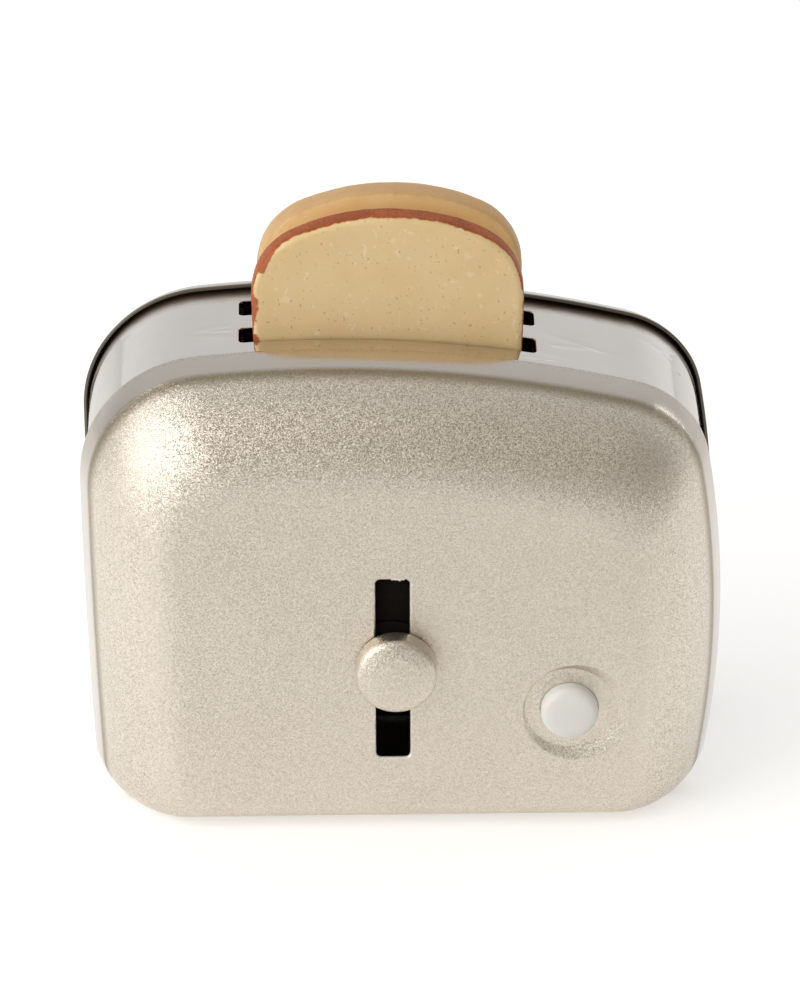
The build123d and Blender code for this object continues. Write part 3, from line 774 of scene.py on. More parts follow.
@dataclass(frozen=True)
class Crumb(Finish):
    """Waxy moulded slice with a crust painted round its edge.

    The mark on the mesh is the distance from the edge, in millimetres.
    """

    face: Colour = tone(240, 213, 164)
    patch: Colour = tone(237, 208, 156)
    crust: Colour = tone(158, 76, 34)
    rust: Colour = tone(180, 98, 50)
    smear: Colour = tone(182, 100, 60)
    pale: Colour = tone(250, 234, 198)
    bleed: float = 0.1
    ragged: float = 0.35
    soft: float = 0.04
    milky: float = 0.3
    smear_from: float = -11.6
    smear_to: float = -13.4
    waver_size: float = 4.0
    waver: float = 3.0
    glow_reach: float = 4.0
    fine_depth: float = 0.02
    broad_depth: float = 0.12

    def skin(self, graph: Graph, side: Any) -> bpy.types.NodeSocket:
        """Speckled colour of the crust, smeared on one side.

        Args:
            graph: shader nodes of the slice.
            side: 1 on the smeared side.

        Returns:
            The colour.
        """
        speckle = graph.math("MULTIPLY_ADD", graph.spots(0.22, 2.0), 0.6,
                             graph.math("MULTIPLY", graph.spots(2.2), 0.4))
        plain = graph.blend(graph.span(speckle, 0.42, 0.6), self.crust, self.rust)
        return graph.blend(graph.math("MULTIPLY", side, 0.35), plain, self.smear)

    def flesh(self, graph: Graph, broad: Any) -> bpy.types.NodeSocket:
        """Colour of the face, with wavering scratches, pale flecks and dark pits.

        Args:
            graph: shader nodes of the slice.
            broad: broad soft noise.

        Returns:
            The colour.
        """
        face = graph.blend(graph.span(broad, 0.3, 0.7), self.face, self.patch)
        scale = 1 / (self.waver_size * MM)
        waver = graph.add("ShaderNodeTexNoise", {"Vector": graph.place, "Scale": scale}).outputs["Color"]
        waver = graph.vector("SCALE", waver, self.waver * MM)
        bent = graph.vector("ADD", graph.stretched(1.0, 1.0, 0.22), waver)
        scratch = graph.span(graph.spots(0.42, 1.0, bent), 0.68, 0.75)
        fleck = graph.span(graph.spots(0.9, 2.0), 0.64, 0.72)
        pale = graph.math("MULTIPLY", graph.math("MAXIMUM", scratch, fleck), 0.5)
        pits = graph.span(graph.spots(0.3, 0.0), 0.74, 0.8, 0.0, 0.4)
        return graph.blend(pits, graph.blend(pale, face, self.pale), self.smear)

    def paint(self, graph: Graph) -> None:
        """Face and crust, which meet in a ragged line, with a smear on one side.

        Args:
            graph: shader nodes of the slice.
        """
        broad, fine, mark = graph.spots(5.0, 3.0), graph.spots(0.5, 3.0), graph.mark()
        side = graph.span(graph.axis("X"), self.smear_from * MM, self.smear_to * MM)
        blotch = graph.math("MULTIPLY", graph.span(graph.spots(2.4, 3.0), 0.34, 0.56, 0.0, 0.6), side)
        ragged = graph.math("SUBTRACT", graph.spots(0.8, 4.0), 0.5)
        edge = graph.math("MULTIPLY_ADD", ragged, self.ragged, self.bleed)
        smeared = graph.math("SUBTRACT", graph.math("ADD", edge, blotch), mark)
        smeared = graph.span(smeared, -0.1, 0.12)
        crusted = graph.span(graph.math("SUBTRACT", edge, mark), -self.soft, self.soft)
        colour = graph.blend(smeared, self.flesh(graph, broad), self.smear)
        graph.shade(Base_Color=graph.blend(crusted, colour, self.skin(graph, side)),
                    Roughness=graph.span(fine, 0.3, 0.7, 0.4, 0.55), IOR=1.45,
                    Specular_IOR_Level=graph.span(mark, 0.0, 0.5, 0.2, 0.5),
                    Subsurface_Weight=self.milky, Subsurface_Scale=self.milky * self.glow_reach * MM,
                    Subsurface_Radius=(1.0, 0.85, 0.65),
                    Normal=graph.bump(fine, self.fine_depth, graph.bump(broad, self.broad_depth)))


@dataclass(frozen=True)
class SheetSteel(Finish):
    """Plain steel sheet, wire or rivet, between two tones."""

    light: Colour = tone(176, 178, 180)
    dark: Colour = tone(142, 145, 148)
    metal: float = 1.0
    rough: float = 0.34
    grain: float = 0.8
    gloss: float = 0.5

    def paint(self, graph: Graph) -> None:
        """Spangled tone and a fine rolled grain.

        Args:
            graph: shader nodes of the steel.
        """
        cloud, grain = graph.spots(self.grain, 3.0), graph.spots(0.12, 2.0)
        graph.shade(Base_Color=graph.blend(cloud, self.dark, self.light), Metallic=self.metal,
                    Roughness=graph.span(cloud, 0.3, 0.7, self.rough - 0.06, self.rough + 0.08),
                    Specular_IOR_Level=self.gloss, Normal=graph.bump(grain, 0.006))


CHAMPAGNE = FlakePaint()
PLATE = BrightPlate()
ZINC = SheetSteel()
# painted shade: the works inside the casing are black, so that the casing's inside looks dark through the
# slots
SHADE_BLACK = SheetSteel(light=tone(26, 22, 18), dark=tone(15, 12, 10), metal=0.0, rough=0.7, gloss=0.06)
PALE_CRUMB = Crumb()
TAN_CRUMB = Crumb(face=tone(250, 219, 172), patch=tone(247, 213, 164), crust=tone(202, 164, 118),
                  rust=tone(208, 170, 124), smear=tone(226, 190, 144), pale=tone(250, 224, 182), bleed=0.3,
                  soft=0.6, milky=0.7)
SPRING_STEEL = SheetSteel(light=tone(150, 150, 152), dark=tone(110, 110, 114), rough=0.28, grain=0.3)
SLIDE_PLASTIC = SheetSteel(light=tone(24, 22, 20), dark=tone(14, 13, 12), metal=0.0, rough=0.6, gloss=0.06)


# ---- casing --------------------------------------------------------------------------------
class Half(Enum):
    """Which cover, by the way that it faces along y."""

    FRONT = -1
    REAR = 1


@dataclass(frozen=True)
class Casing:
    """Sizes that the covers and the band share."""

    crown_x: float = -7.4
    crown_radius: float = 120.0
    left_waist: float = 40.0
    left_radius: float = 700.0
    right_waist: float = 20.0
    right_radius: float = 100.0
    left_shoulder: float = 12.8
    right_shoulder: float = 9.8
    foot: float = 4.5
    side_steps: int = 64
    corner_steps: int = 26

    def outline(self) -> Outline:
        """Outline of the rims, from the box of the front cover.

        Returns:
            The outline.
        """
        low, high = box_mm("front_cover")
        top = Disc(self.crown_x, high[2] - self.crown_radius, self.crown_radius)
        right = Disc(high[0] - self.right_radius, self.right_waist, self.right_radius)
        left = Disc(low[0] + self.left_radius, self.left_waist, self.left_radius)
        bottom = Disc.straight((high[0], low[2]), (low[0], low[2]))
        corners = (self.right_shoulder, self.foot, self.foot, self.left_shoulder)
        return Outline((top, right, bottom, left), corners)


@dataclass
class Cover:
    """Drawn cover: leaning wall, bend and flat face, with a slot and a dish in the front one."""

    half: Half
    casing: Casing
    sheet: float = 0.35
    rim_turn: float = math.radians(18)
    top_sweep: float = 11.1
    side_sweep: float = 9.7
    bottom_sweep: float = 2.9
    face_shoulder: float = 6.3
    face_foot: float = 2.9
    bend_steps: int = 36
    edge: float = 0.09
    slot_width: float = 3.32
    slot_low: float = 8.2
    slot_high: float = 28.0
    slot_corner: float = 0.5
    slot_roll: float = 0.24
    slot_shift: float = 0.15
    roll_steps: int = 6
    burr: float = 0.24
    burr_span: tuple[float, float, float, float] = (-0.25, 0.0, 1.05, 1.35)
    dish_radius: float = 5.3
    dish_margin: float = 0.6
    dish_depth: float = 0.42
    dish_slope: float = 0.95
    boss_rise: float = 0.2
    dish_drift: tuple[float, float] = (0.64, -0.33)
    boss_radius: float = 3.7
    hole_radius: float = 2.89
    round_steps: int = 120
    last_turn: float = math.radians(79.5)
    face_rings: int = 8
    face_margin: float = 0.6
    clearance: float = 0.16
    node: str = field(init=False)

    def __post_init__(self) -> None:
        """Finds the node that this cover stands for and where it lies."""
        self.node = f"{self.half.name.lower()}_cover"
        low, high = box_mm(self.node)
        ends = (high[1], low[1]) if self.half is Half.FRONT else (low[1], high[1])
        self.rim_y, self.face_y = (float(end) for end in ends)

    def section(self, turn: float) -> tuple[float, Outline]:
        """Outline of the wall and bend.

        Args:
            turn: angle of the profile, from rim_turn at the rim to a quarter turn at the face.

        Returns:
            Its y and the outline there.
        """
        start = math.sin(self.rim_turn)
        share = 1 - math.cos(turn) / math.cos(self.rim_turn)
        depth = (math.sin(turn) - start) / (1 - start)
        goal = (self.face_shoulder, self.face_foot, self.face_foot, self.face_shoulder)
        pulled = self.casing.outline().inset(self.top_sweep * share, self.side_sweep * share,
                                             self.bottom_sweep * share ** 2, share, goal)
        return self.rim_y + (self.face_y - self.rim_y) * depth, pulled

    def ring(self, skin: Skin, y: float, outline: Outline) -> list[int]:
        """Adds one ring of the shell."""
        trace = outline.trace(self.casing.side_steps, self.casing.corner_steps)
        return skin.add(upright(trace[:, 0], y, trace[:, 1]))

    def slot_rings(self, skin: Skin) -> list[list[int]]:
        """Rings from the slider slot's rolled edge, torn to a burr at its upper end, out to the face; their
        marks give bare metal at the burr and a painted highlight along the bottom and right edges.

        Args:
            skin: mesh that gets the rings.

        Returns:
            Numbers of each ring's points, the slot's own edge first.
        """
        low, high = box_mm("slider_knob")
        slot_x = float(low[0] + high[0]) / 2 + self.slot_shift
        slot_z, height = (self.slot_high + self.slot_low) / 2, self.slot_high - self.slot_low
        start, full, even, end = self.burr_span
        rings = []
        for turn in np.linspace(0.0, math.pi / 2, self.roll_steps):
            lip, deep = self.slot_roll * (1 - math.cos(turn)), self.slot_roll * (1 - math.sin(turn))
            outline = Outline.box(slot_x, slot_z, self.slot_width + 2 * lip, height + 2 * lip,
                                  self.slot_corner + lip)
            trace = outline.trace(side_steps=30, corner_steps=8)
            x, z = trace[:, 0] - slot_x, trace[:, 1]
            torn = smooth_step(start, full, x) * smooth_step(end, even, x)
            torn = torn * (z > self.slot_high - self.slot_corner)
            # painted highlight: the bottom and right edges are marked bright like bare metal, for the light
            # the rolled edge catches
            bottom = smooth_step(self.slot_low + 0.9, self.slot_low + 0.2, z)
            right = 0.45 * smooth_step(1.0, 1.5, x)
            bare_and_highlit = np.maximum.reduce([bottom, right, torn, np.full(len(x), 0.25)])
            ragged = np.array([0.65 + 0.9 * noise.noise(Vector((3.6 * t, 0.0, 7.0))) for t in x])
            z = z - self.burr * torn * ragged * (1 - lip / self.slot_roll)
            marks = bare_and_highlit * (1 - smooth_step(1.2, 1.5, turn))
            rings.append(skin.add(upright(trace[:, 0], self.face_y + deep, z), marks))
        return rings

    def dish_rings(self, skin: Skin) -> list[list[int]]:
        """Rings of the stamped dish and boss, from the face inward to the button's hole.

        Args:
            skin: mesh that gets the rings.

        Returns:
            Numbers of each ring's points, the one on the face first.
        """
        low, high = box_mm("push_button")
        middle = (low + high) / 2
        outer, floor = self.dish_radius + self.dish_margin, self.dish_radius - self.dish_slope
        profile = rounded([(outer, 0.0, 0.0), (self.dish_radius, 0.0, 0.8), (floor, self.dish_depth, 0.5),
                           (self.boss_radius, self.dish_depth, 0.7),
                           (self.hole_radius, self.dish_depth - self.boss_rise, 0.0)], 8)
        angles = np.linspace(0, 2 * math.pi, self.round_steps, endpoint=False)
        rings = []
        for radius, depth in profile:
            drift = smooth_step(floor - 0.1, self.dish_radius, radius)
            x = middle[0] + self.dish_drift[0] * drift + radius * np.cos(angles)
            z = middle[2] + self.dish_drift[1] * drift + radius * np.sin(angles)
            rings.append(skin.add(upright(x, self.ground(x, z) + depth, z)))
        return rings

    def ground(self, x: np.ndarray, z: np.ndarray) -> np.ndarray:
        """Where the plain face or its bend to the right side lies.

        Args:
            x: places across.
            z: places upward.

        Returns:
            The y of each.
        """
        side = self.casing.outline().sides[1]
        share = np.minimum((side.radius - np.hypot(x - side.x, z - side.z)) / self.side_sweep, 1.0)
        start = math.sin(self.rim_turn)
        sine = np.sqrt(1 - ((1 - share) * math.cos(self.rim_turn)) ** 2)
        return self.rim_y + (self.face_y - self.rim_y) * (sine - start) / (1 - start)

    def clears(self, point: np.ndarray, rim: np.ndarray) -> bool:
        """Whether a point keeps clear of a hole and its rim."""
        return not inside(point, rim) and np.hypot(*(rim - point).T).min() > self.clearance

    def build(self) -> bpy.types.Object:
        """Shell of this cover.

        Returns:
            The finished piece.
        """
        skin = Skin()
        turns = np.linspace(self.rim_turn, self.last_turn, self.bend_steps)
        rows = [self.ring(skin, *self.section(float(turn))) for turn in turns]
        skin.bridge(rows)
        holes = []
        if self.half is Half.FRONT:
            dish, slot = self.dish_rings(skin), self.slot_rings(skin)
            skin.bridge(dish)
            skin.bridge(slot)
            holes = [slot[-1], dish[0]]
        loose = []
        for turn in np.linspace(self.last_turn, math.pi / 2, self.face_rings + 1)[1:]:
            loose += self.ring(skin, *self.section(float(turn)))
        face = self.section(math.pi / 2)[1]
        loose += self.ring(skin, self.face_y, face.inset(*(self.face_margin,) * 3, 0.2, (0.0,) * 4))
        rims = [skin.flat(hole) for hole in holes]
        loose = [number for number, point in zip(loose, skin.flat(loose))
                 if all(self.clears(point, rim) for rim in rims)]
        used = [*rows[-1], *(number for hole in holes for number in hole), *loose]
        skin.fill(rows[-1], holes, loose, skin.flat(used))
        piece = skin.build(f"{self.node}_shell")
        thicken(piece, self.sheet, self.edge)
        seat(piece, CHAMPAGNE, "casing", "champagne_paint", self.node)
        return piece


@dataclass
class Band:
    """Bright strip round the sides and top, with two bread slots."""

    casing: Casing
    sheet: float = 0.3
    inset: float = 0.6
    roll: float = 1.1
    dip: float = 0.16
    grid: float = 0.45
    foot_end: float = 18.85
    slot_length: float = 29.1
    slot_width: float = 3.2
    slot_corner: float = 0.5
    slot_x: float = -1.3
    edge: float = 0.1
    clearance: float = 0.15
    floor_z: float = 0.01
    crown_z: float = 30.0
    crown_x: float = 20.0
    dent_z: float = 20.0
    dent_slant: float = 0.25
    trace: np.ndarray = field(init=False, repr=False)
    run: np.ndarray = field(init=False, repr=False)
    dents: tuple[tuple[float, float, float, float, float], ...] = (
        (-18.5, -2.2, 2.2, 0.3, 0.05), (17.0, -0.4, 2.6, 0.35, 0.06), (14.5, -3.9, 2.0, 0.3, 0.03),
        (25.6, 3.0, 1.4, 0.22, 0.08), (-26.8, 4.6, 1.6, 0.2, 0.08))

    def __post_init__(self) -> None:
        """Walks once round the casing from the middle of the bottom."""
        trace = self.casing.outline().trace(side_steps=400, corner_steps=200)
        start = int(np.argmin(np.abs(trace[:, 0]) + 1e3 * (trace[:, 1] > self.floor_z)))
        self.trace = np.vstack([trace[start:], trace[:start]])
        steps = np.hypot(*np.diff(self.trace[:, :2], axis=0).T)
        self.run = np.concatenate([[0.0], np.cumsum(steps)])

    def ends(self) -> tuple[float, float]:
        """Lengths along the walk at which the strip starts and ends, under the casing.

        Returns:
            The first and the last length.
        """
        x, z = self.trace[:, 0], self.trace[:, 1]
        on_floor = (z < self.floor_z) & (np.abs(x) < self.foot_end)
        return self.run[~on_floor][0], self.run[~on_floor][-1]

    def surface(self, along: np.ndarray, y: np.ndarray) -> np.ndarray:
        """Points of the strip, dented and dipping towards the covers.

        Args:
            along: lengths along the walk.
            y: places across the strip.

        Returns:
            Rows of x, y and z.
        """
        rim_y = box_mm("rear_cover")[0][1]
        x, z, way_x, way_z = (np.interp(along, self.run, self.trace[:, i]) for i in range(4))
        pull = self.inset + self.dip * smooth_step(rim_y - self.roll, rim_y + 0.2, np.abs(y))
        pull = pull + self.dented(x, y, z)
        return upright(x - pull * way_x, y, z - pull * way_z)

    def slots(self) -> list[np.ndarray]:
        """Edges of the bread slots.

        Returns:
            Length along the walk and y of each edge's points.
        """
        crown = (self.trace[:, 1] > self.crown_z) & (np.abs(self.trace[:, 0]) < self.crown_x)
        edges = []
        for node in ("front_toast", "rear_toast"):
            low, high = box_mm(node)
            outline = Outline.box(self.slot_x, (low[1] + high[1]) / 2, self.slot_length,
                                  self.slot_width, self.slot_corner)
            edge = outline.trace(side_steps=40, corner_steps=8)
            along = np.interp(edge[:, 0], self.trace[crown, 0], self.run[crown])
            edges.append(np.stack([along, edge[:, 1]], 1))
        return edges

    def build(self) -> bpy.types.Object:
        """Strip with its slots.

        Returns:
            The finished piece.
        """
        half = float(box_mm("chrome_band")[1][1])
        first, last = self.ends()
        along = np.linspace(first, last, int((last - first) / self.grid) + 1)
        across = np.linspace(-half, half, int(2 * half / self.grid) + 1)
        sides = [np.stack([along, np.full(len(along), y)], 1) for y in (-half, half)]
        ends = [np.stack([np.full(len(across) - 2, s), across[1:-1]], 1) for s in (first, last)]
        outer = np.vstack([sides[0], ends[1], sides[1][::-1], ends[0][::-1]])
        holes = self.slots()
        inner = np.stack(np.meshgrid(along[1:-1], across[1:-1]), -1).reshape(-1, 2)
        clear = np.ones(len(inner), bool)
        for hole in holes:
            low, high = hole.min(0) - self.clearance, hole.max(0) + self.clearance
            clear &= ~np.all((inner > low) & (inner < high), axis=1)
        flat = np.vstack([outer, *holes, inner[clear]])
        skin = Skin()
        numbers = skin.add(self.surface(flat[:, 0], flat[:, 1]))
        ends_at = np.cumsum([len(outer), *(len(hole) for hole in holes)])
        loops = [numbers[a:b] for a, b in zip([0, *ends_at], ends_at)]
        skin.fill(loops[0], loops[1:], numbers[ends_at[-1]:], flat)
        piece = skin.build("bright_band")
        thicken(piece, self.sheet, self.edge)
        seat(piece, PLATE, "casing", "bright_plate", "chrome_band")
        return piece

    def dented(self, x: np.ndarray, y: np.ndarray, z: np.ndarray) -> np.ndarray:
        """Depth of the handling marks at points of the strip.

        Args:
            x: places across the casing.
            y: places across the strip.
            z: heights.

        Returns:
            The depth at each, inward.
        """
        depth = np.zeros(len(x))
        for mark_x, mark_y, length, width, deep in self.dents:
            slanted = (y - mark_y + self.dent_slant * (x - mark_x)) / width
            depth += deep * np.exp(-(((x - mark_x) / length) ** 2 + slanted ** 2)) * (z > self.dent_z)
        return depth


# ---- knob and button -----------------------------------------------------------------------
TIP = 0.05                  # radius of the small ring that a cap closes


@dataclass
class Turned:
    """Round piece turned about an axis that points out of the front."""

    node: str
    profile: Sequence[tuple[float, float, float]]
    shift: float = 0.0
    edge_steps: int = 8
    steps: int = 112

    def skin(self) -> bpy.types.Object:
        """Mesh of the profile about the middle of the node's box, or beside it, from its back outward.

        Returns:
            The new object.
        """
        low, high = box_mm(self.node)
        middle = (low + high) / 2 + (self.shift, 0.0, 0.0)
        angles = np.linspace(0, 2 * math.pi, self.steps, endpoint=False)
        skin = Skin()
        rings = []
        for radius, height in rounded(self.profile, self.edge_steps):
            x, z = middle[0] + radius * np.cos(angles), middle[2] + radius * np.sin(angles)
            rings.append(skin.add(upright(x, high[1] - height, z)))
        skin.bridge(rings)
        skin.cap(rings[0])
        skin.cap(rings[-1])
        return skin.build(f"{self.node}_turned")


@dataclass
class Knob:
    """Slider knob: a drawn cap with a shallow dome over a rolled edge."""

    radius: float = 3.97
    wall: float = 2.0
    dome: float = 0.75
    sheet: float = 0.4
    roof: float = 0.35
    boss: float = 1.9
    shift: float = 0.45

    def build(self) -> bpy.types.Object:
        """Cap with its hollow back and boss.

        Returns:
            The finished piece.
        """
        inner, ceiling, top = self.radius - self.sheet, self.wall - self.roof, self.wall + self.dome
        profile = [(TIP, 0.0, 0.0), (self.boss, 0.0, 0.1), (self.boss, ceiling, 0.1),
                   (inner, ceiling, 0.2), (inner, 0.0, 0.12), (self.radius, 0.0, 0.12),
                   (self.radius, self.wall + 0.2, 0.75), (self.radius * 0.6, top - 0.12, 3.0),
                   (self.radius * 0.25, top - 0.01, 2.0), (TIP, top, 0.0)]
        piece = Turned("slider_knob", profile, self.shift).skin()
        seat(piece, CHAMPAGNE, "carriage", "champagne_paint", "slider_knob")
        return piece


@dataclass
class Button:
    """Round push button with a shallow dome, a flange and a stem."""

    radius: float = 2.83
    flange: float = 3.12
    flange_thickness: float = 0.6
    stem: float = 1.0
    stem_length: float = 3.0
    neck: float = 0.4
    proud: float = 1.1
    dome: float = 0.4

    def build(self) -> bpy.types.Object:
        """Head, flange and stem in one moulding.

        Returns:
            The finished piece.
        """
        back = self.stem_length
        neck = back + self.flange_thickness
        face = neck + self.neck
        top = face + self.proud + self.dome
        profile = [(TIP, 0.0, 0.0), (self.stem, 0.0, 0.15), (self.stem, back, 0.1),
                   (self.flange, back, 0.1), (self.flange, neck, 0.1), (self.radius, neck, 0.05),
                   (self.radius, face + self.proud + 0.1, 0.85), (self.radius * 0.6, top - 0.08, 2.5),
                   (TIP, top, 0.0)]
        piece = Turned("push_button", profile).skin()
        seat(piece, MilkPlastic(), "button", "milk_plastic", "push_button")
        return piece


# ---- slices --------------------------------------------------------------------------------
class Bread(Enum):
    """The two moulded slices."""

    FRONT = "front"
    REAR = "rear"


@dataclass
class Slice:
    """Slice of toast: arched top, softened edges and a slightly uneven hand-finished skin."""

    bread: Bread
    crumb: Crumb
    width: float = 26.9
    shift: float = 0.0
    crown_radius: float = 21.5
    shoulder: float = 7.3
    foot: float = 1.5
    waist: float = 0.75
    edge: float = 0.6
    margin: float = 0.9
    clearance: float = 0.4
    uneven: float = 0.07
    swell: float = 2.6
    ripple: float = 0.9
    seed: int = 7
    grid: float = 0.7

    def outline(self, low: np.ndarray, high: np.ndarray) -> Outline:
        """Outline from the node's box, less the skin's unevenness.

        Args:
            low: lowest corner of the box.
            high: highest corner of the box.

        Returns:
            The outline.
        """
        x, half = (low[0] + high[0]) / 2 + self.shift, self.width / 2 - self.uneven
        top, bottom = high[2] - self.uneven, low[2] + self.uneven
        shoulder_z = top - self.crown_radius + math.sqrt(self.crown_radius ** 2 - half ** 2)
        ends = [(x + half, shoulder_z), (x + half - self.waist, bottom), (x - half + self.waist, bottom),
                (x - half, shoulder_z)]
        sides = (Disc(x, top - self.crown_radius, self.crown_radius),
                 *(Disc.straight(a, b) for a, b in zip(ends, ends[1:])))
        return Outline(sides, (self.shoulder, self.foot, self.foot, self.shoulder))

    def build(self) -> bpy.types.Object:
        """Both faces and the edge round them.

        Returns:
            The finished piece.
        """
        node = f"{self.bread.value}_toast"
        low, high = box_mm(node)
        trace = self.outline(low, high).trace(side_steps=90, corner_steps=34)
        y_front, y_back = low[1] + self.uneven, high[1] - self.uneven
        profile = rounded([(self.margin, y_front, 0.0), (0.0, y_front, self.edge),
                           (0.0, y_back, self.edge), (self.margin, y_back, 0.0)], 7)
        skin = Skin()
        rings = []
        for inset, y in profile:
            place = trace[:, :2] - inset * trace[:, 2:]
            rings.append(skin.add(upright(place[:, 0], y, place[:, 1]), inset))
        skin.bridge(rings)
        rim = skin.flat(rings[0])
        spans = [np.arange(rim[:, i].min(), rim[:, i].max(), self.grid) for i in (0, 1)]
        inner = np.stack(np.meshgrid(*spans), -1).reshape(-1, 2)
        gaps = np.min(np.hypot(*(inner[:, None] - rim[None]).transpose(2, 0, 1)), axis=1)
        within = np.array([inside(point, rim) for point in inner]) & (gaps > self.clearance)
        inner, gaps = inner[within], gaps[within] + profile[0][0]
        for ring, y in ((rings[0], y_front), (rings[-1], y_back)):
            loose = skin.add(upright(inner[:, 0], y, inner[:, 1]), gaps)
            skin.fill(ring, [], loose, np.vstack([rim, inner]))
        self.roughen(skin)
        piece = skin.build(f"{node}_slice")
        slot = "toast_pale" if self.bread is Bread.FRONT else "toast_tan"
        seat(piece, self.crumb, f"{self.bread.value}_slice", slot, node)
        return piece

    def roughen(self, skin: Skin) -> None:
        """Moves each point a little, in long swells and short ripples.

        Args:
            skin: mesh whose points move.
        """
        noise.seed_set(self.seed)
        shift = Vector((0.0, 40.0, 0.0)) if self.bread is Bread.REAR else Vector()
        for number, point in enumerate(skin.points):
            drift = noise.noise_vector(Vector(point) / self.swell + shift) * 0.7
            drift += noise.noise_vector(Vector(point) / self.ripple + shift) * 0.3
            skin.points[number] = point + np.array(drift) * self.uneven


# ---- carried-over pieces -------------------------------------------------------------------
@dataclass
class Works:
    """Sheet, wire and rivets inside and under the casing, kept as the frame has them."""

    finishes: dict[Finish, tuple[str, ...]] = field(default_factory=lambda: {
        ZINC: ("base_plate", "base_rivets", "guide_rivets", "bridge_rivets", "left_guide_rod",
               "right_guide_rod", "knob_rivet"),
        SHADE_BLACK: ("left_toast_guide", "right_toast_guide", "guide_bridge", "lifter", "button_bracket",
                  "friction_washer"),
        SPRING_STEEL: ("button_spring",),
        SLIDE_PLASTIC: ("slide_block",)})

    def dress(self) -> None:
        """Gives every carried-over node its finish."""
        for finish, nodes in self.finishes.items():
            for name in nodes:
                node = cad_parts[name]
                node.data.materials.clear()
                node.data.materials.append(finish.material())
                LOG.info("%s wears %s", name, type(finish).__name__)


# ---- studio --------------------------------------------------------------------------------
@dataclass(frozen=True)
class Lamp:
    """Soft rectangular lamp."""

    name: str
    place: tuple[float, float, float]
    width: float
    height: float
    watts: float

    def hang(self, aim: Vector) -> None:
        """Makes the lamp and turns it to a point.

        Args:
            aim: the point, in metres.
        """
        data = bpy.data.lights.new(self.name, "AREA")
        data.shape, data.size, data.size_y = "RECTANGLE", self.width * MM, self.height * MM
        data.energy = self.watts
        lamp = in_scene(self.name, data)
        lamp.location = Vector(self.place) * MM
        lamp.rotation_euler = (aim - lamp.location).to_track_quat("-Z", "Y").to_euler()


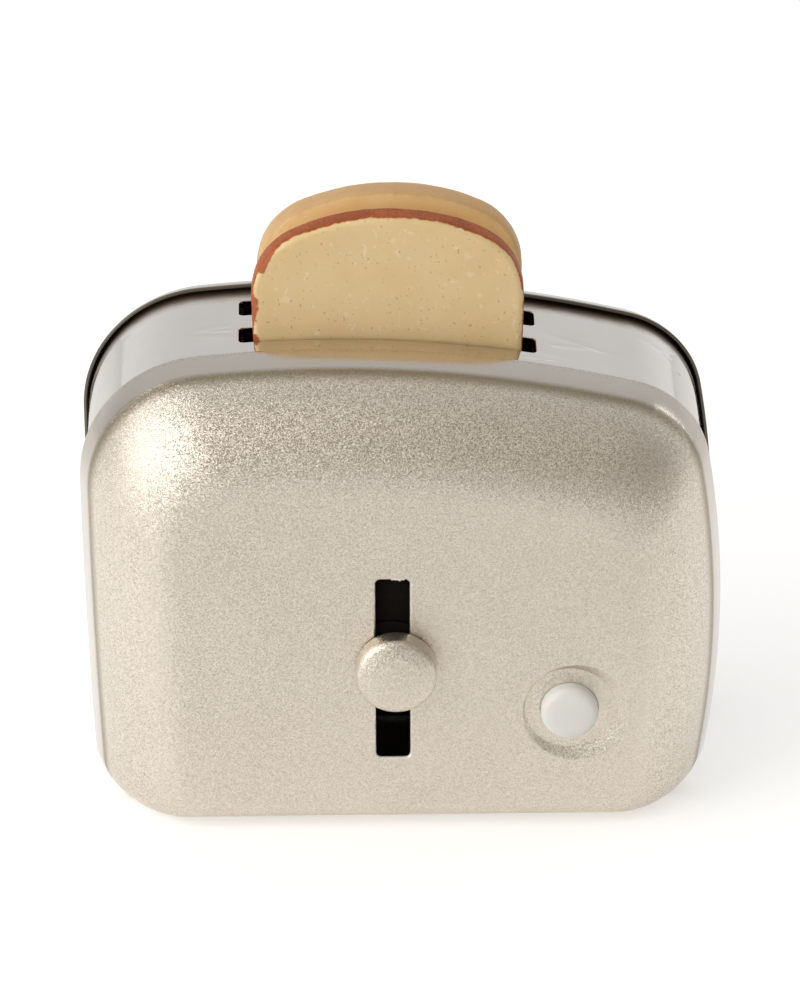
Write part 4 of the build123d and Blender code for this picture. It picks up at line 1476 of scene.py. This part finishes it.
@dataclass
class Studio:
    """White table, soft lamps and the camera."""

    aim: tuple[float, float, float] = (-0.14, 0.0, 27.6)
    azimuth: float = 0.81
    elevation: float = 28.0
    roll: float = -0.255
    distance: float = 710.0
    focal_length: float = 258.1
    film_width: float = 36.0
    floor_size: float = 3000.0
    lamps: tuple[Lamp, ...] = (
        Lamp("window", (-420.0, -190.0, 310.0), 480.0, 480.0, 1.22),
        Lamp("panel", (-350.0, -390.0, 130.0), 340.0, 210.0, 0.4),
        Lamp("strip", (490.0, 150.0, 245.0), 40.0, 420.0, 0.14))
    sky: float = 0.62
    front: float = 0.4
    wall_low: float = 0.88
    wall_high: float = 0.72
    dim: float = 0.3
    front_tint: Colour = (1.0, 0.95, 0.86)
    white: float = 0.42
    # painted light of the floor in reflections: near the toaster, far off, and to the sides
    near_glow: float = 0.34
    far_glow: float = 0.06
    side_glow: float = 0.12

    def build(self) -> None:
        """Sets up the floor, the world, the lamps and the camera."""
        self.lay_floor()
        self.light_world()
        for lamp in self.lamps:
            lamp.hang(Vector(self.aim) * MM)
        self.place_camera()
        bpy.context.scene.view_settings.view_transform = "Standard"

    def lay_floor(self) -> None:
        """Pale table top; it looks white to the camera and keeps its shadow, and in the metal it glows as
        painted light, more near the toaster and to its sides.
        """
        half = self.floor_size / 2 * MM
        corners = [(-half, -half, 0), (half, -half, 0), (half, half, 0), (-half, half, 0)]
        mesh = bpy.data.meshes.new("floor")
        mesh.from_pydata(corners, [], [(0, 1, 2, 3)])
        floor = in_scene("floor", mesh)
        white = bpy.data.materials.new("table_white")
        mesh.materials.append(white)
        graph = Graph(white)
        path = graph.add("ShaderNodeLightPath").outputs
        mirrored = graph.math("MAXIMUM", path["Is Glossy Ray"], path["Is Transmission Ray"])
        across, along = (graph.math("ABSOLUTE", graph.axis(name)) for name in "XY")
        # painted light: the floor glows only in reflections, more near the toaster and to the sides
        aside = graph.span(across, 10 * MM, 60 * MM, 0.0, self.side_glow)
        nearness = graph.span(along, 20 * MM, 85 * MM, self.near_glow, self.far_glow)
        glow = graph.math("ADD", nearness, aside)
        glow = graph.math("MAXIMUM", graph.math("MULTIPLY", mirrored, glow),
                          graph.math("MULTIPLY", path["Is Camera Ray"], self.white))
        graph.shade(Base_Color=tone(240, 240, 239), Roughness=0.9, Specular_IOR_Level=0.2,
                    Emission_Color=(1.0, 1.0, 1.0), Emission_Strength=glow)

    def light_world(self) -> None:
        """Even room, a little brighter low behind the toaster, and white to the camera."""
        world = bpy.data.worlds.new("studio")
        bpy.context.scene.world = world
        graph = Graph(world, "Background", "Generated")
        x, y, z = (graph.axis(name) for name in "XYZ")
        ahead = graph.span(z, 0.1, 0.85, self.front, self.sky)
        level = graph.span(y, 0.0, 0.8, ahead, graph.span(z, 0.0, 0.5, self.wall_low, self.wall_high))
        shade = graph.math("MULTIPLY", graph.span(x, -0.1, 0.75, 0.0, self.dim), graph.span(y, 0.5, 0.0))
        shade = graph.math("MULTIPLY", shade, graph.span(z, 0.05, 0.35))
        level = graph.math("MULTIPLY", level, graph.math("SUBTRACT", 1.0, shade))
        tint = graph.blend(graph.span(y, 0.2, -0.5), (1.0, 1.0, 1.0), self.front_tint)
        camera = graph.add("ShaderNodeLightPath").outputs["Is Camera Ray"]
        graph.shade(Color=graph.blend(camera, tint, (1.0, 1.0, 1.0)),
                    Strength=graph.math("MAXIMUM", camera, level))

    def place_camera(self) -> None:
        """Camera above the front, looking down a little."""
        turn, rise, roll = (math.radians(v) for v in (self.azimuth, self.elevation, self.roll))
        level, lift = math.cos(rise), math.sin(rise)
        look = Vector((math.sin(turn) * level, math.cos(turn) * level, -lift))
        right = Vector((math.cos(turn), -math.sin(turn), 0.0))
        up = right.cross(look)
        right, up = (right * math.cos(roll) + up * math.sin(roll),
                     up * math.cos(roll) - right * math.sin(roll))
        data = bpy.data.cameras.new("camera")
        data.lens, data.sensor_width = self.focal_length, self.film_width
        data.clip_start, data.clip_end = 0.01, 10.0
        camera = in_scene("camera", data)
        place = Matrix((right, up, -look)).transposed().to_4x4()
        place.translation = (Vector(self.aim) - look * self.distance) * MM
        camera.matrix_world = place
        bpy.context.scene.camera = camera


def main() -> None:
    """Builds the toaster's looks and the studio."""
    logging.basicConfig(level=logging.INFO, format="%(message)s")
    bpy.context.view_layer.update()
    casing = Casing()
    Cover(Half.FRONT, casing).build()
    Cover(Half.REAR, casing).build()
    Band(casing).build()
    Knob().build()
    Button().build()
    Slice(Bread.FRONT, PALE_CRUMB).build()
    Slice(Bread.REAR, TAN_CRUMB, width=26.3, shift=0.25).build()
    Works().dress()
    Studio().build()
    LOG.info("CAD and visual boxes written")


if __name__ == "__main__":
    main()
